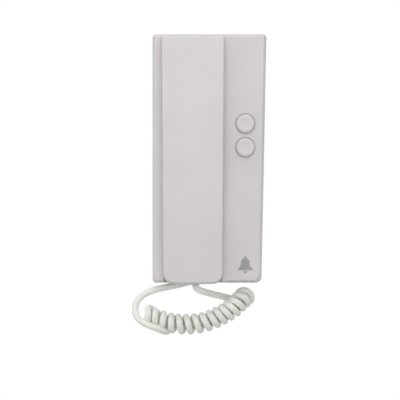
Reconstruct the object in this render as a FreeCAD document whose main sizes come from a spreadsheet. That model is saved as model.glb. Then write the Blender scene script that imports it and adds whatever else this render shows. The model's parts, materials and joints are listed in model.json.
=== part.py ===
"""Slim wall telephone: a base screwed to a wall, a long handset hung on it, two buttons and a curly cord.

Millimetres. +Z is up, the front faces -Y and the wall is the plane Y = 0, with the origin at the
middle of the wall face. A depth is a distance from the wall towards the front, so a point at depth d
has Y = -d.
"""

import FreeCAD, Part

import math
import os

import Sketcher
from FreeCAD import Rotation, Vector

doc = FreeCAD.newDocument("wall_phone")

# --------------------------------------------------------------------------------------------------
# Driving dimensions. Each goes into the sheet under its own name.
# --------------------------------------------------------------------------------------------------

DIMENSIONS = [
    # base outline
    ("base_half_width", 47.25),
    ("base_right_taper", 4.15),
    ("base_half_height", 103.0),
    ("base_depth", 30.0),
    ("base_draft", 3.8),
    ("base_corner", 3.0),
    ("base_big_corner", 5.0),
    ("base_front_edge", 2.2),
    ("cover_wall", 2.0),
    ("skirt_inset", 3.0),
    # wall plate
    ("plate_thickness", 2.4),
    ("plate_gap", 0.4),
    ("window_width", 24.0),
    ("window_height", 30.0),
    ("window_level", -20.0),
    ("wall_screw_column", 4.0),
    ("wall_screw_spacing", 60.0),
    ("wall_screw_radius", 2.1),
    # handset bed in the base
    ("bed_depth", 17.0),
    ("bed_tuck", 0.4),
    ("bed_edge", 0.8),
    ("gully_depth", 7.5),
    ("gully_top", -88.0),
    ("recess_depth", 12.5),
    # handset
    ("handset_middle", -13.65),
    ("handset_top", 101.6),
    ("handset_bottom", -104.0),
    ("handset_top_half", 25.95),
    ("handset_bottom_half", 24.45),
    ("handset_front", 46.5),
    ("handset_bow", 3.5),
    ("handset_parting", 33.0),
    ("handset_back", 18.0),
    ("handset_wall", 2.2),
    ("rear_inset", 1.2),
    ("handset_draft", 3.0),
    ("handset_top_corner", 1.7),
    ("handset_low_corner", 7.0),
    ("handset_edge", 1.5),
    ("grip_back", 23.0),
    ("grip_top", 26.0),
    ("grip_bottom", -42.0),
    ("cup_back", 14.5),
    ("ear_level", 72.0),
    ("ear_cup_radius", 17.0),
    ("mouth_level", -70.0),
    ("mouth_cup_radius", 14.0),
    # hanging lug and hook lever
    ("lug_level", 44.0),
    ("lug_thickness", 4.2),
    ("lug_width", 10.0),
    ("lug_gap", 0.5),
    ("lug_tip", 24.0),
    ("lift_slope", 0.7),
    ("pivot_level", 16.0),
    ("pivot_depth", 11.0),
    ("pin_radius", 1.5),
    ("pin_play", 0.05),
    ("lever_width", 6.0),
    # buttons
    ("button_column", 29.55),
    ("button_upper_level", 28.7),
    ("button_lower_level", 9.0),
    ("button_hole_radius", 8.25),
    ("button_radius", 7.4),
    ("button_top", 32.4),
    # circuit board
    ("board_left", 16.5),
    ("board_right", 40.0),
    ("board_top", 88.0),
    ("board_bottom", -78.0),
    ("board_back", 6.4),
    ("board_thickness", 1.6),
    # cord
    ("cord_radius", 2.7),
    ("coil_radius", 8.4),
]


class Size:
    """A length that carries its value and the sheet formula that gives it."""

    def __init__(self, value, formula):
        self.value = value
        self.formula = formula

    def __add__(self, other):
        other = as_size(other)
        return Size(self.value + other.value, f"({self.formula} + {other.formula})")

    def __sub__(self, other):
        other = as_size(other)
        return Size(self.value - other.value, f"({self.formula} - {other.formula})")

    def __mul__(self, other):
        other = as_size(other)
        return Size(self.value * other.value, f"({self.formula} * {other.formula})")

    def __neg__(self):
        return Size(-self.value, f"(-{self.formula})")

    def __radd__(self, other):
        return as_size(other) + self

    def __rsub__(self, other):
        return as_size(other) - self

    def __truediv__(self, divisor):
        return Size(self.value / divisor, f"({self.formula} / {divisor})")


def as_size(value):
    if isinstance(value, Size):
        return value
    return Size(float(value), f"({float(value)})")


def make_sheet():
    sheet = doc.addObject("Spreadsheet::Sheet", "sizes")
    sizes = {}
    for row, (name, value) in enumerate(DIMENSIONS, 1):
        sheet.set(f"A{row}", name)
        sheet.set(f"B{row}", str(value))
        sheet.setAlias(f"B{row}", name)
        sizes[name] = Size(value, f"sizes.{name}")
    doc.recompute()
    return sizes


dim = make_sheet()

# --------------------------------------------------------------------------------------------------
# Helpers for PartDesign bodies. A sketch on the XZ plane faces the front: its X is X, its Y is Z, its
# offset is a depth. A pad there grows towards the front, and a pocket cuts towards the wall.
# --------------------------------------------------------------------------------------------------


def bind(feature, path, size):
    feature.setExpression(path, as_size(size).formula)


def new_body(label):
    body = doc.addObject("PartDesign::Body", label)
    body.Label = label
    return body


def new_sketch(body, name, plane="XZ", offset=0):
    sketch = body.newObject("Sketcher::SketchObject", f"{body.Name}_{name}")
    features = body.Origin.OriginFeatures
    support = [f for f in features if f.Role == f"{plane}_Plane"][0]
    sketch.AttachmentSupport = [(support, "")]
    sketch.MapMode = "FlatFace"
    bind(sketch, "AttachmentOffset.Base.z", offset)
    return sketch


def fix_point(sketch, geometry, position, x, y):
    for kind, size in (("DistanceX", as_size(x)), ("DistanceY", as_size(y))):
        index = sketch.addConstraint(Sketcher.Constraint(kind, -1, 1, geometry, position, size.value))
        bind(sketch, f"Constraints[{index}]", size)


def draw_polygon(sketch, points):
    """A closed outline through points, each a pair of sizes."""
    corners = [Vector(as_size(x).value, as_size(y).value, 0) for x, y in points]
    first = sketch.GeometryCount
    for start, end in zip(corners, corners[1:] + corners[:1]):
        sketch.addGeometry(Part.LineSegment(start, end))
    count = len(points)
    for i in range(count):
        after = (i + 1) % count
        sketch.addConstraint(Sketcher.Constraint("Coincident", first + i, 2, first + after, 1))
    for i, (x, y) in enumerate(points):
        fix_point(sketch, first + i, 1, x, y)
    return sketch


def draw_rectangle(sketch, left, right, bottom, top):
    return draw_polygon(sketch, [(left, bottom), (right, bottom), (right, top), (left, top)])


def draw_circle(sketch, x, y, radius):
    radius = as_size(radius)
    centre = Vector(as_size(x).value, as_size(y).value, 0)
    geometry = sketch.addGeometry(Part.Circle(centre, Vector(0, 0, 1), radius.value))
    fix_point(sketch, geometry, 3, x, y)
    index = sketch.addConstraint(Sketcher.Constraint("Radius", geometry, radius.value))
    bind(sketch, f"Constraints[{index}]", radius)
    return sketch


def draw_bowed(sketch, front, bow, top, bottom, back):
    """A side profile on the YZ plane, closed in front by one arc that stands bow proud of its ends."""
    front, bow = as_size(front), as_size(bow)
    top, bottom, back = as_size(top), as_size(bottom), as_size(back)
    middle = (top.value + bottom.value) / 2
    end = front - bow
    low_end = Vector(-end.value, bottom.value, 0)
    high_end = Vector(-end.value, top.value, 0)
    low_back = Vector(-back.value, bottom.value, 0)
    high_back = Vector(-back.value, top.value, 0)
    arc = Part.Arc(low_end, Vector(-front.value, middle, 0), high_end)
    sketch.addGeometry(Part.LineSegment(high_back, low_back))
    sketch.addGeometry(Part.LineSegment(low_back, low_end))
    sketch.addGeometry(arc)
    sketch.addGeometry(Part.LineSegment(high_end, high_back))
    low_first = (sketch.getPoint(2, 1) - low_end).Length < (sketch.getPoint(2, 2) - low_end).Length
    arc_low, arc_high = (1, 2) if low_first else (2, 1)
    sketch.addConstraint(Sketcher.Constraint("Coincident", 0, 2, 1, 1))
    sketch.addConstraint(Sketcher.Constraint("Coincident", 1, 2, 2, arc_low))
    sketch.addConstraint(Sketcher.Constraint("Coincident", 3, 1, 2, arc_high))
    sketch.addConstraint(Sketcher.Constraint("Coincident", 3, 2, 0, 1))
    fix_point(sketch, 0, 1, -back, top)
    fix_point(sketch, 0, 2, -back, bottom)
    fix_point(sketch, 1, 2, -end, bottom)
    fix_point(sketch, 3, 1, -end, top)
    radius = bow_radius((top - bottom) / 2, bow)
    index = sketch.addConstraint(Sketcher.Constraint("Radius", 2, radius.value))
    bind(sketch, f"Constraints[{index}]", radius)
    return sketch


def bow_radius(half, bow):
    """The radius of an arc with half its chord and its rise given."""
    squares = half * half + bow * bow
    return Size(squares.value / (2 * bow.value), f"({squares.formula} / (2 * {bow.formula}))")


def pad(body, sketch, length, reverse=False, taper=None, both=False):
    feature = body.newObject("PartDesign::Pad", f"{sketch.Name}_pad")
    feature.Profile = sketch
    bind(feature, "Length", length)
    feature.Reversed = reverse
    feature.Midplane = both
    if taper is not None:
        bind(feature, "TaperAngle", taper)
    sketch.Visibility = False
    doc.recompute()
    return feature


def pocket(body, sketch, length, both=False, reverse=False):
    """Cuts length of the profile away, and refuses one that takes nothing."""
    before = body.Shape.Volume
    feature = body.newObject("PartDesign::Pocket", f"{sketch.Name}_pocket")
    feature.Profile = sketch
    bind(feature, "Length", length)
    feature.Midplane = both
    feature.Reversed = reverse
    sketch.Visibility = False
    doc.recompute()
    if not body.Shape.Volume < before - 1e-3:
        raise RuntimeError(f"{feature.Name} cuts nothing")
    return feature


def round_edges(body, radius, wanted):
    """Fillets the edges of the body that wanted picks."""
    base = body.Tip
    names = [f"Edge{i}" for i, edge in enumerate(base.Shape.Edges, 1) if wanted(edge)]
    if not names:
        raise RuntimeError(f"{body.Label} has no such edge")
    feature = body.newObject("PartDesign::Fillet", f"{body.Name}_round")
    feature.Base = (base, names)
    bind(feature, "Radius", radius)
    doc.recompute()
    return feature


def near(a, b, tolerance=0.05):
    return abs(a - as_size(b).value) < tolerance


def edge_runs_deep(edge):
    """True for an edge that runs mostly from the wall to the front."""
    box = edge.BoundBox
    return box.YLength > 5 and box.XLength < 3 and box.ZLength < 3


# --------------------------------------------------------------------------------------------------
# Helpers for pieces made of primitives.
# --------------------------------------------------------------------------------------------------


def place(feature, x, depth, z):
    bind(feature, "Placement.Base.x", x)
    bind(feature, "Placement.Base.y", -as_size(depth))
    bind(feature, "Placement.Base.z", z)


def block(name, left, right, back, front, bottom, top):
    left, back, bottom = as_size(left), as_size(back), as_size(bottom)
    feature = doc.addObject("Part::Box", name)
    bind(feature, "Length", as_size(right) - left)
    bind(feature, "Width", as_size(front) - back)
    bind(feature, "Height", as_size(top) - bottom)
    place(feature, left, front, bottom)
    return feature


def disc(name, x, z, radius, back, front):
    """A cylinder whose axis runs from the wall to the front."""
    feature = doc.addObject("Part::Cylinder", name)
    bind(feature, "Radius", radius)
    bind(feature, "Height", as_size(front) - as_size(back))
    feature.Placement.Rotation = Rotation(Vector(1, 0, 0), 90)
    place(feature, x, back, z)
    return feature


def join(name, features):
    feature = doc.addObject("Part::MultiFuse", name)
    feature.Shapes = features
    return feature


def cut(name, base, tools):
    tool = tools[0] if len(tools) == 1 else join(f"{name}_tools", tools)
    feature = doc.addObject("Part::Cut", name)
    feature.Base = base
    feature.Tool = tool
    return feature


def group(name, features):
    """Separate solids that share one node."""
    feature = doc.addObject("Part::Compound", name)
    feature.Links = features
    return feature


def finished(feature, label):
    feature.Label = label
    return feature


# --------------------------------------------------------------------------------------------------
# Base
# --------------------------------------------------------------------------------------------------

# the two cover screws, beside the handset's middle, and their bosses
SCREW_SIDE = 14.0
SCREW_LEVEL = -44.0
BOSS_RADIUS = 3.5
# board posts and the pilot holes of both kinds of screw
BOARD_INSET = 3.0
POST_RADIUS = 2.8
BOARD_PILOT = 1.0
COVER_PILOT = 1.25
# cheeks that hold the lever's pin, and by how much its hole is larger
CHEEK_INNER = 3.4
CHEEK_OUTER = 6.0
PINHOLE = 0.02
# how far a cutting profile stands clear of what it cuts
BEYOND = 20.0
# the bush where the cord enters the base
RELIEF_DEPTH = 12.0
RELIEF_LEVEL = -96.0
RELIEF_RADIUS = 3.4
RELIEF_LENGTH = 3.3
# slots for the sounder in the base's lower wall
SOUND_SLOTS = 5
SOUND_SLOT_LEFT = 18.0
SOUND_SLOT_PITCH = 4.0
SOUND_SLOT_WIDTH = 1.6
SOUND_SLOT_DEPTHS = (12.0, 24.0)


def base_outline(inset):
    """The base's outline at the wall, moved in by inset."""
    left = -dim["base_half_width"] + inset
    top = dim["base_half_height"] - inset
    right_top = dim["base_half_width"] - inset
    right_low = right_top - dim["base_right_taper"]
    return [(left, -top), (right_low, -top), (right_top, top), (left, top)]


def handset_outline(grow, top, bottom):
    """The handset's tapering outline, grown sideways, between two levels."""
    middle = dim["handset_middle"]
    high = dim["handset_top_half"] + grow
    low = dim["handset_bottom_half"] + grow
    return [(middle - low, bottom), (middle + low, bottom), (middle + high, top), (middle - high, top)]


def board_screw_places():
    left, right = dim["board_left"] + BOARD_INSET, dim["board_right"] - BOARD_INSET
    top, bottom = dim["board_top"] - BOARD_INSET, dim["board_bottom"] + BOARD_INSET
    return [(x, z) for x in (left, right) for z in (bottom, top)]


def cover_screw_places():
    return [(dim["handset_middle"] + side * SCREW_SIDE, as_size(SCREW_LEVEL)) for side in (-1, 1)]


def lug_profile(back, front, gap):
    """The slanting lug between two depths, grown by gap above and below, as points on the YZ plane."""
    points = []
    for depth, side in ((back, -1), (front, -1), (front, 1), (back, 1)):
        level = dim["lug_level"] + dim["lift_slope"] * (as_size(depth) - dim["bed_depth"])
        if side > 0:
            level = level + dim["lug_thickness"]
        points.append((-as_size(depth), level + as_size(gap) * side))
    return points


def make_wall_plate():
    body = new_body("wall_plate")
    face = dim["plate_thickness"]
    inset = dim["skirt_inset"] + dim["plate_gap"]
    pad(body, draw_polygon(new_sketch(body, "plate"), base_outline(inset)), face)
    posts = new_sketch(body, "board_posts", offset=face)
    for x, z in board_screw_places():
        draw_circle(posts, x, z, POST_RADIUS)
    pad(body, posts, dim["board_back"] - face)
    bosses = new_sketch(body, "cover_bosses", offset=face)
    for x, z in cover_screw_places():
        draw_circle(bosses, x, z, BOSS_RADIUS)
    pad(body, bosses, dim["bed_depth"] - dim["cover_wall"] - face)
    cheeks = new_sketch(body, "lever_cheeks", offset=face)
    middle, level = dim["handset_middle"], dim["pivot_level"]
    draw_rectangle(cheeks, middle - CHEEK_OUTER, middle - CHEEK_INNER, level - 4, level + 4)
    draw_rectangle(cheeks, middle + CHEEK_INNER, middle + CHEEK_OUTER, level - 4, level + 4)
    pad(body, cheeks, dim["pivot_depth"] + 2.6 - face)
    tabs = new_sketch(body, "top_tabs", offset=face)
    high = dim["base_half_height"]
    for x in (-25, 25):
        draw_rectangle(tabs, x - 5, x + 5, high - 6, high - 4)
    pad(body, tabs, 4)
    through = face + BEYOND
    window = new_sketch(body, "cable_window", offset=through)
    half_width, half_height = dim["window_width"] / 2, dim["window_height"] / 2
    draw_rectangle(window, middle - half_width, middle + half_width,
                   dim["window_level"] - half_height, dim["window_level"] + half_height)
    pocket(body, window, through + 1)
    holes = new_sketch(body, "wall_screw_holes", offset=through)
    for side in (-0.5, 0.5):
        level_of_hole = dim["wall_screw_spacing"] * side
        draw_circle(holes, dim["wall_screw_column"], level_of_hole, dim["wall_screw_radius"])
    pocket(body, holes, through + 1)
    pilots = new_sketch(body, "pilot_holes", offset=through)
    for x, z in board_screw_places():
        draw_circle(pilots, x, z, BOARD_PILOT)
    for x, z in cover_screw_places():
        draw_circle(pilots, x, z, COVER_PILOT)
    pocket(body, pilots, through - 1)
    pivot = new_sketch(body, "pivot_hole", plane="YZ", offset=middle)
    draw_circle(pivot, -dim["pivot_depth"], level, dim["pin_radius"] + PINHOLE)
    pocket(body, pivot, 30, both=True)
    return body


def make_base_cover():
    body = new_body("base_cover")
    front, bed, wall = dim["base_depth"], dim["bed_depth"], dim["cover_wall"]
    middle, high = dim["handset_middle"], dim["base_half_height"]
    outline = draw_polygon(new_sketch(body, "outline"), base_outline(0))
    pad(body, outline, front, taper=-dim["base_draft"])
    big_corner_x = dim["base_half_width"].value - dim["base_right_taper"].value
    round_edges(body, dim["base_big_corner"], lambda edge: edge_runs_deep(edge)
                and near(edge.BoundBox.XMax, big_corner_x) and edge.BoundBox.ZMax < 0)
    round_edges(body, dim["base_corner"], lambda edge: edge_runs_deep(edge)
                and abs(edge.BoundBox.Center.x) > 44
                and (edge.BoundBox.Center.x < 0 or edge.BoundBox.ZMax > 0))
    round_edges(body, dim["base_front_edge"], lambda edge: near(edge.BoundBox.YMax, -front))
    bed_cut = new_sketch(body, "bed", offset=front + BEYOND)
    draw_polygon(bed_cut, handset_outline(-dim["bed_tuck"], high + 7, -high - 7))
    pocket(body, bed_cut, front - bed + BEYOND)
    round_edges(body, dim["bed_edge"], lambda edge: near(edge.BoundBox.YMax, -front) and edge.Length > 150
                and near(edge.BoundBox.YMin, -front) and edge.BoundBox.XMax < 15
                and edge.BoundBox.XMin > -42)
    hollow = new_sketch(body, "hollow", offset=bed - wall)
    draw_polygon(hollow, base_outline(dim["skirt_inset"]))
    pocket(body, hollow, bed)
    column = new_sketch(body, "right_hollow", offset=front - wall)
    inset = dim["skirt_inset"] + 1
    rib = wall - dim["bed_tuck"]
    right_top = dim["base_half_width"] - inset
    draw_polygon(column, [(middle + dim["handset_bottom_half"] + rib, -high + inset),
                          (right_top - dim["base_right_taper"], -high + inset),
                          (right_top, high - inset),
                          (middle + dim["handset_top_half"] + rib, high - inset)])
    pocket(body, column, front)
    ear_level, mouth_level = dim["ear_level"] + 1, dim["mouth_level"] + 0.8
    ear_radius, mouth_radius = dim["ear_cup_radius"] + 3.5, dim["mouth_cup_radius"] + 2
    floor = dim["recess_depth"] - wall
    for name, level, radius in (("ear", ear_level, ear_radius), ("mouth", mouth_level, mouth_radius)):
        shell = new_sketch(body, f"{name}_recess_shell", offset=floor)
        draw_circle(shell, middle, level, radius + wall)
        pad(body, shell, bed - floor - 0.5)
    gully_top, gully_depth = dim["gully_top"], dim["gully_depth"]
    gully_shell = new_sketch(body, "gully_shell", offset=gully_depth - wall)
    left, right = middle - dim["handset_bottom_half"] - 2, middle + dim["handset_bottom_half"] + 2
    draw_rectangle(gully_shell, left, right, -high + 2.5, gully_top + wall)
    pad(body, gully_shell, bed - gully_depth + wall - 0.5)
    for name, level, radius in (("ear", ear_level, ear_radius), ("mouth", mouth_level, mouth_radius)):
        recess = new_sketch(body, f"{name}_recess", offset=bed + 1)
        draw_circle(recess, middle, level, radius)
        pocket(body, recess, bed + 1 - dim["recess_depth"])
    gully = new_sketch(body, "gully", offset=bed + 1)
    draw_rectangle(gully, left + 2, right - 2, -high - 7, gully_top)
    pocket(body, gully, bed + 1 - gully_depth)
    lug = new_sketch(body, "lug", plane="YZ", offset=middle)
    draw_polygon(lug, lug_profile(bed - 1, dim["lug_tip"], 0))
    pad(body, lug, dim["lug_width"], both=True)
    buttons = new_sketch(body, "button_holes", offset=front + 1)
    for level in (dim["button_upper_level"], dim["button_lower_level"]):
        draw_circle(buttons, dim["button_column"], level, dim["button_hole_radius"])
    pocket(body, buttons, 2 * wall.value + 1)
    slot = new_sketch(body, "lever_slot", offset=bed + 1)
    draw_rectangle(slot, middle - 4, middle + 4, dim["pivot_level"] + 8, dim["pivot_level"] + 25)
    pocket(body, slot, wall + 2)
    screws = new_sketch(body, "screw_holes", offset=bed + 1)
    for x, z in cover_screw_places():
        draw_circle(screws, x, z, 1.7)
    pocket(body, screws, wall + 2)
    relief = new_sketch(body, "cord_hole", plane="YZ", offset=right + 1)
    draw_circle(relief, -RELIEF_DEPTH, RELIEF_LEVEL, RELIEF_RADIUS)
    pocket(body, relief, 6)
    sound = new_sketch(body, "sound_slots", plane="XY", offset=-high + 5)
    nearest, furthest = SOUND_SLOT_DEPTHS
    for i in range(SOUND_SLOTS):
        x = SOUND_SLOT_LEFT + SOUND_SLOT_PITCH * i
        draw_rectangle(sound, x, x + SOUND_SLOT_WIDTH, -furthest, -nearest)
    pocket(body, sound, 8)
    return body


# --------------------------------------------------------------------------------------------------
# Electrical pieces of the base
# --------------------------------------------------------------------------------------------------


def make_circuit_board():
    back = dim["board_back"]
    plate = block("board_blank", dim["board_left"], dim["board_right"], back, back + dim["board_thickness"],
                  dim["board_bottom"], dim["board_top"])
    holes = [disc(f"board_hole_{i}", x, z, 1.4, back - 1, back + 4)
             for i, (x, z) in enumerate(board_screw_places())]
    return finished(cut("board_drilled", plate, holes), "circuit_board")


def board_face():
    return dim["board_back"] + dim["board_thickness"]


# x, z, half width, half height, how far it stands off the board
BOX_PARTS = [
    (24, -20, 4, 2.5, 3), (33, -17, 2.5, 4, 4), (24, -66, 4, 5, 6), (34, 48, 4, 3, 3), (23, 47, 3, 4, 8),
]
# x, z, radius, how far it stands off the board
ROUND_PARTS = [(35, -26, 3, 11), (22, -28, 2.5, 9), (34, -68, 4, 13), (23, 80, 2.5, 7)]


def make_board_components():
    face = board_face()
    parts = []
    for i, (x, z, half_width, half_height, rise) in enumerate(BOX_PARTS):
        parts.append(block(f"box_part_{i}", x - half_width, x + half_width, face, face + rise,
                           z - half_height, z + half_height))
    for i, (x, z, radius, rise) in enumerate(ROUND_PARTS):
        parts.append(disc(f"round_part_{i}", x, z, radius, face, face + rise))
    return finished(group("components", parts), "board_components")


TERMINAL_LEVEL = 64.0
TERMINAL_PITCH = 4.0


def terminal_columns():
    centre = (dim["board_left"] + dim["board_right"]) / 2
    return [centre + TERMINAL_PITCH * (i - 2) for i in range(5)]


def make_terminal_block():
    face = board_face()
    columns = terminal_columns()
    housing = block("terminal_housing", columns[0] - 2.4, columns[-1] + 2.4, face, face + 10,
                    TERMINAL_LEVEL - 4.5, TERMINAL_LEVEL + 4.5)
    wells = [disc(f"terminal_well_{i}", x, TERMINAL_LEVEL + 1, 1.5, face + 5, face + 11)
             for i, x in enumerate(columns)]
    mouths = [block(f"terminal_mouth_{i}", x - 1.2, x + 1.2, face + 1.5, face + 4, TERMINAL_LEVEL - 5,
                    TERMINAL_LEVEL - 1) for i, x in enumerate(columns)]
    return finished(cut("terminal_cut", housing, wells + mouths), "terminal_block")


def make_terminal_screws():
    face = board_face()
    screws = [disc(f"terminal_screw_{i}", x, TERMINAL_LEVEL + 1, 1.4, face + 5, face + 8.5)
              for i, x in enumerate(terminal_columns())]
    return finished(group("terminal_screw_set", screws), "terminal_screws")


SOUNDER_LEVEL = -46.0


def make_sounder():
    face = board_face()
    centre = (dim["board_left"] + dim["board_right"]) / 2
    can = disc("sounder_can", centre, SOUNDER_LEVEL, 11, face, face + 11)
    port = disc("sounder_port", centre, SOUNDER_LEVEL, 2.5, face + 8, face + 12)
    return finished(cut("sounder_body", can, [port]), "sounder")


def make_button_switches():
    face = board_face()
    parts = []
    for i, level in enumerate((dim["button_upper_level"], dim["button_lower_level"])):
        x = dim["button_column"]
        parts.append(block(f"switch_body_{i}", x - 3, x + 3, face, face + 3.5, level - 3, level + 3))
        parts.append(disc(f"switch_plunger_{i}", x, level, 1.7, face + 3.5, face + 4.9))
    return finished(group("button_switch_set", parts), "button_switches")


# --------------------------------------------------------------------------------------------------
# Screws, springs and the hook lever
# --------------------------------------------------------------------------------------------------


def pan_screw(name, x, z, under_head, length, shank, head, head_height):
    """A screw driven towards the wall, its head's underside at depth under_head."""
    under_head = as_size(under_head)
    stem = disc(f"{name}_shank", x, z, shank, under_head - length, under_head)
    cap = disc(f"{name}_head", x, z, head, under_head, under_head + head_height)
    cross_a = block(f"{name}_cross_a", x - 0.3, x + 0.3, under_head + head_height * 0.5, under_head + 5,
                    z - head * 0.55, z + head * 0.55)
    cross_b = block(f"{name}_cross_b", x - head * 0.55, x + head * 0.55, under_head + head_height * 0.5,
                    under_head + 5, z - 0.3, z + 0.3)
    return cut(name, join(f"{name}_blank", [stem, cap]), [cross_a, cross_b])


def make_board_screws():
    screws = [pan_screw(f"board_screw_{i}", x, z, board_face(), 4.5, 0.98, 2.2, 1.4)
              for i, (x, z) in enumerate(board_screw_places())]
    return finished(group("board_screw_set", screws), "board_screws")


def make_cover_screws():
    screws = [pan_screw(f"cover_screw_{i}", x, z, dim["bed_depth"], 9, 1.23, 2.8, 1.8)
              for i, (x, z) in enumerate(cover_screw_places())]
    return finished(group("cover_screw_set", screws), "cover_screws")


def make_spring(label, x, z, back, front, radius, wire, turns):
    """A round-wire compression spring lying along the depth."""
    back, front = as_size(back) + wire, as_size(front) - wire
    helix = doc.addObject("Part::Helix", f"{label}_path")
    bind(helix, "Radius", radius)
    bind(helix, "Height", front - back)
    bind(helix, "Pitch", (front - back) / turns)
    wire_section = doc.addObject("Part::Circle", f"{label}_wire")
    bind(wire_section, "Radius", wire)
    slope = math.degrees(math.atan2((front - back).value / turns, 2 * math.pi * radius))
    wire_section.Placement = FreeCAD.Placement(Vector(radius, 0, 0), Rotation(Vector(1, 0, 0), 90 + slope))
    sweep = doc.addObject("Part::Sweep", f"{label}_sweep")
    sweep.Sections = [wire_section]
    sweep.Spine = helix
    sweep.Solid = True
    sweep.Frenet = True
    sweep.Placement.Rotation = Rotation(Vector(1, 0, 0), 90)
    place(sweep, x, back, z)
    return finished(sweep, label)


def make_hook_lever():
    body = new_body("hook_lever")
    middle, level, depth = dim["handset_middle"], dim["pivot_level"], dim["pivot_depth"]
    arm = new_sketch(body, "arm", plane="YZ", offset=middle)
    draw_polygon(arm, [(-depth + 2.2, level - 2.6), (-depth + 1.5, level + 24), (-depth - 5.4, level + 24),
                       (-depth - 6.7, level + 22.5), (-depth - 6.7, level + 19.5), (-depth - 5.2, level + 18),
                       (-depth - 1.5, level + 18), (-depth - 2.2, level - 2.6)])
    pad(body, arm, dim["lever_width"], both=True)
    bore = new_sketch(body, "bore", plane="YZ", offset=middle)
    draw_circle(bore, -depth, level, dim["pin_radius"] + dim["pin_play"])
    pocket(body, bore, 20, both=True)
    return body


def make_hook_pin():
    pin = doc.addObject("Part::Cylinder", "pivot_pin")
    bind(pin, "Radius", dim["pin_radius"])
    bind(pin, "Height", 13)
    pin.Placement.Rotation = Rotation(Vector(0, 1, 0), 90)
    place(pin, dim["handset_middle"] - 6.5, dim["pivot_depth"], dim["pivot_level"])
    return finished(pin, "hook_pin")


def make_hook_switch():
    face = dim["plate_thickness"]
    middle, level = dim["handset_middle"], dim["pivot_level"] + 10
    housing = block("hook_switch_housing", middle - 6, middle + 6, face, face + 5, level - 3, level + 3)
    plunger = disc("hook_switch_plunger", middle, level, 1.2, face + 5, face + 6)
    return finished(group("hook_switch_set", [housing, plunger]), "hook_switch")


def make_button(label, level):
    """A round cap turned about its own axis: stem, retaining flange and a crowned top."""
    body = new_body(label)
    profile = new_sketch(body, "profile", plane="YZ", offset=dim["button_column"])
    top, radius = dim["button_top"], dim["button_radius"]
    under = dim["base_depth"] - dim["cover_wall"] - 0.5
    stem_end = board_face() + 6.2
    draw_polygon(profile, [(-stem_end, level), (-stem_end, level + 2.4), (-under + 1.7, level + 2.4),
                           (-under + 1.7, level + 9.1), (-under, level + 9.1), (-under, level + radius),
                           (-top + 1.5, level + radius), (-top + 0.5, level + radius - 1.1), (-top, level)])
    axis = profile.addGeometry(Part.LineSegment(Vector(-40, level.value, 0), Vector(0, level.value, 0)), True)
    profile.addConstraint(Sketcher.Constraint("Horizontal", axis))
    fix_point(profile, axis, 1, -40, level)
    turned = body.newObject("PartDesign::Revolution", f"{body.Name}_turned")
    turned.Profile = profile
    turned.ReferenceAxis = (profile, ["Axis0"])
    turned.Angle = 360
    profile.Visibility = False
    doc.recompute()
    return body


# --------------------------------------------------------------------------------------------------
# Handset
# --------------------------------------------------------------------------------------------------

SHELL_SCREW_LEVELS = (6.0, -34.0)
EAR_BORE = 14.8
MOUTH_BORE = 7.0
# the handset's cord hole, beside its middle
GROMMET_SIDE = 1.9
GROMMET_HOLE = 3.5


def handset_corners(body):
    """Rounds the four long corners of a shell, more at the mouth end."""
    def low(edge):
        return edge_runs_deep(edge) and edge.BoundBox.ZMax < -90

    def high(edge):
        return edge_runs_deep(edge) and edge.BoundBox.ZMin > 90

    round_edges(body, dim["handset_low_corner"], low)
    round_edges(body, dim["handset_top_corner"], high)


def make_front_shell():
    body = new_body("handset_front_shell")
    top, bottom, wall = dim["handset_top"], dim["handset_bottom"], dim["handset_wall"]
    front, parting, middle = dim["handset_front"], dim["handset_parting"], dim["handset_middle"]
    outline = draw_polygon(new_sketch(body, "outline", offset=parting), handset_outline(0, top, bottom))
    pad(body, outline, front - parting + 2, taper=-dim["handset_draft"])
    handset_corners(body)
    bow = new_sketch(body, "bow", plane="YZ", offset=middle)
    draw_bowed(bow, front, dim["handset_bow"], top, bottom, front + 6)
    pocket(body, bow, 80, both=True)
    round_edges(body, dim["handset_edge"], lambda edge: edge.BoundBox.YMax < -42)
    hollow = new_sketch(body, "hollow", plane="YZ", offset=middle)
    draw_bowed(hollow, front - wall, dim["handset_bow"], top - wall, bottom + wall, parting - 1)
    pocket(body, hollow, (dim["handset_bottom_half"] - wall) * 2, both=True)
    posts = new_sketch(body, "screw_posts", offset=parting - 6)
    for level in SHELL_SCREW_LEVELS:
        draw_circle(posts, middle, level, 3.2)
    pad(body, posts, front - parting + 6 - wall)
    pilots = new_sketch(body, "screw_pilots", offset=front - wall - 3)
    for level in SHELL_SCREW_LEVELS:
        draw_circle(pilots, middle, level, 1.2)
    pocket(body, pilots, 20)
    cord = new_sketch(body, "cord_hole", plane="XY", offset=bottom + 5)
    draw_circle(cord, middle + GROMMET_SIDE, -parting, GROMMET_HOLE)
    pocket(body, cord, 10)
    return body


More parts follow.
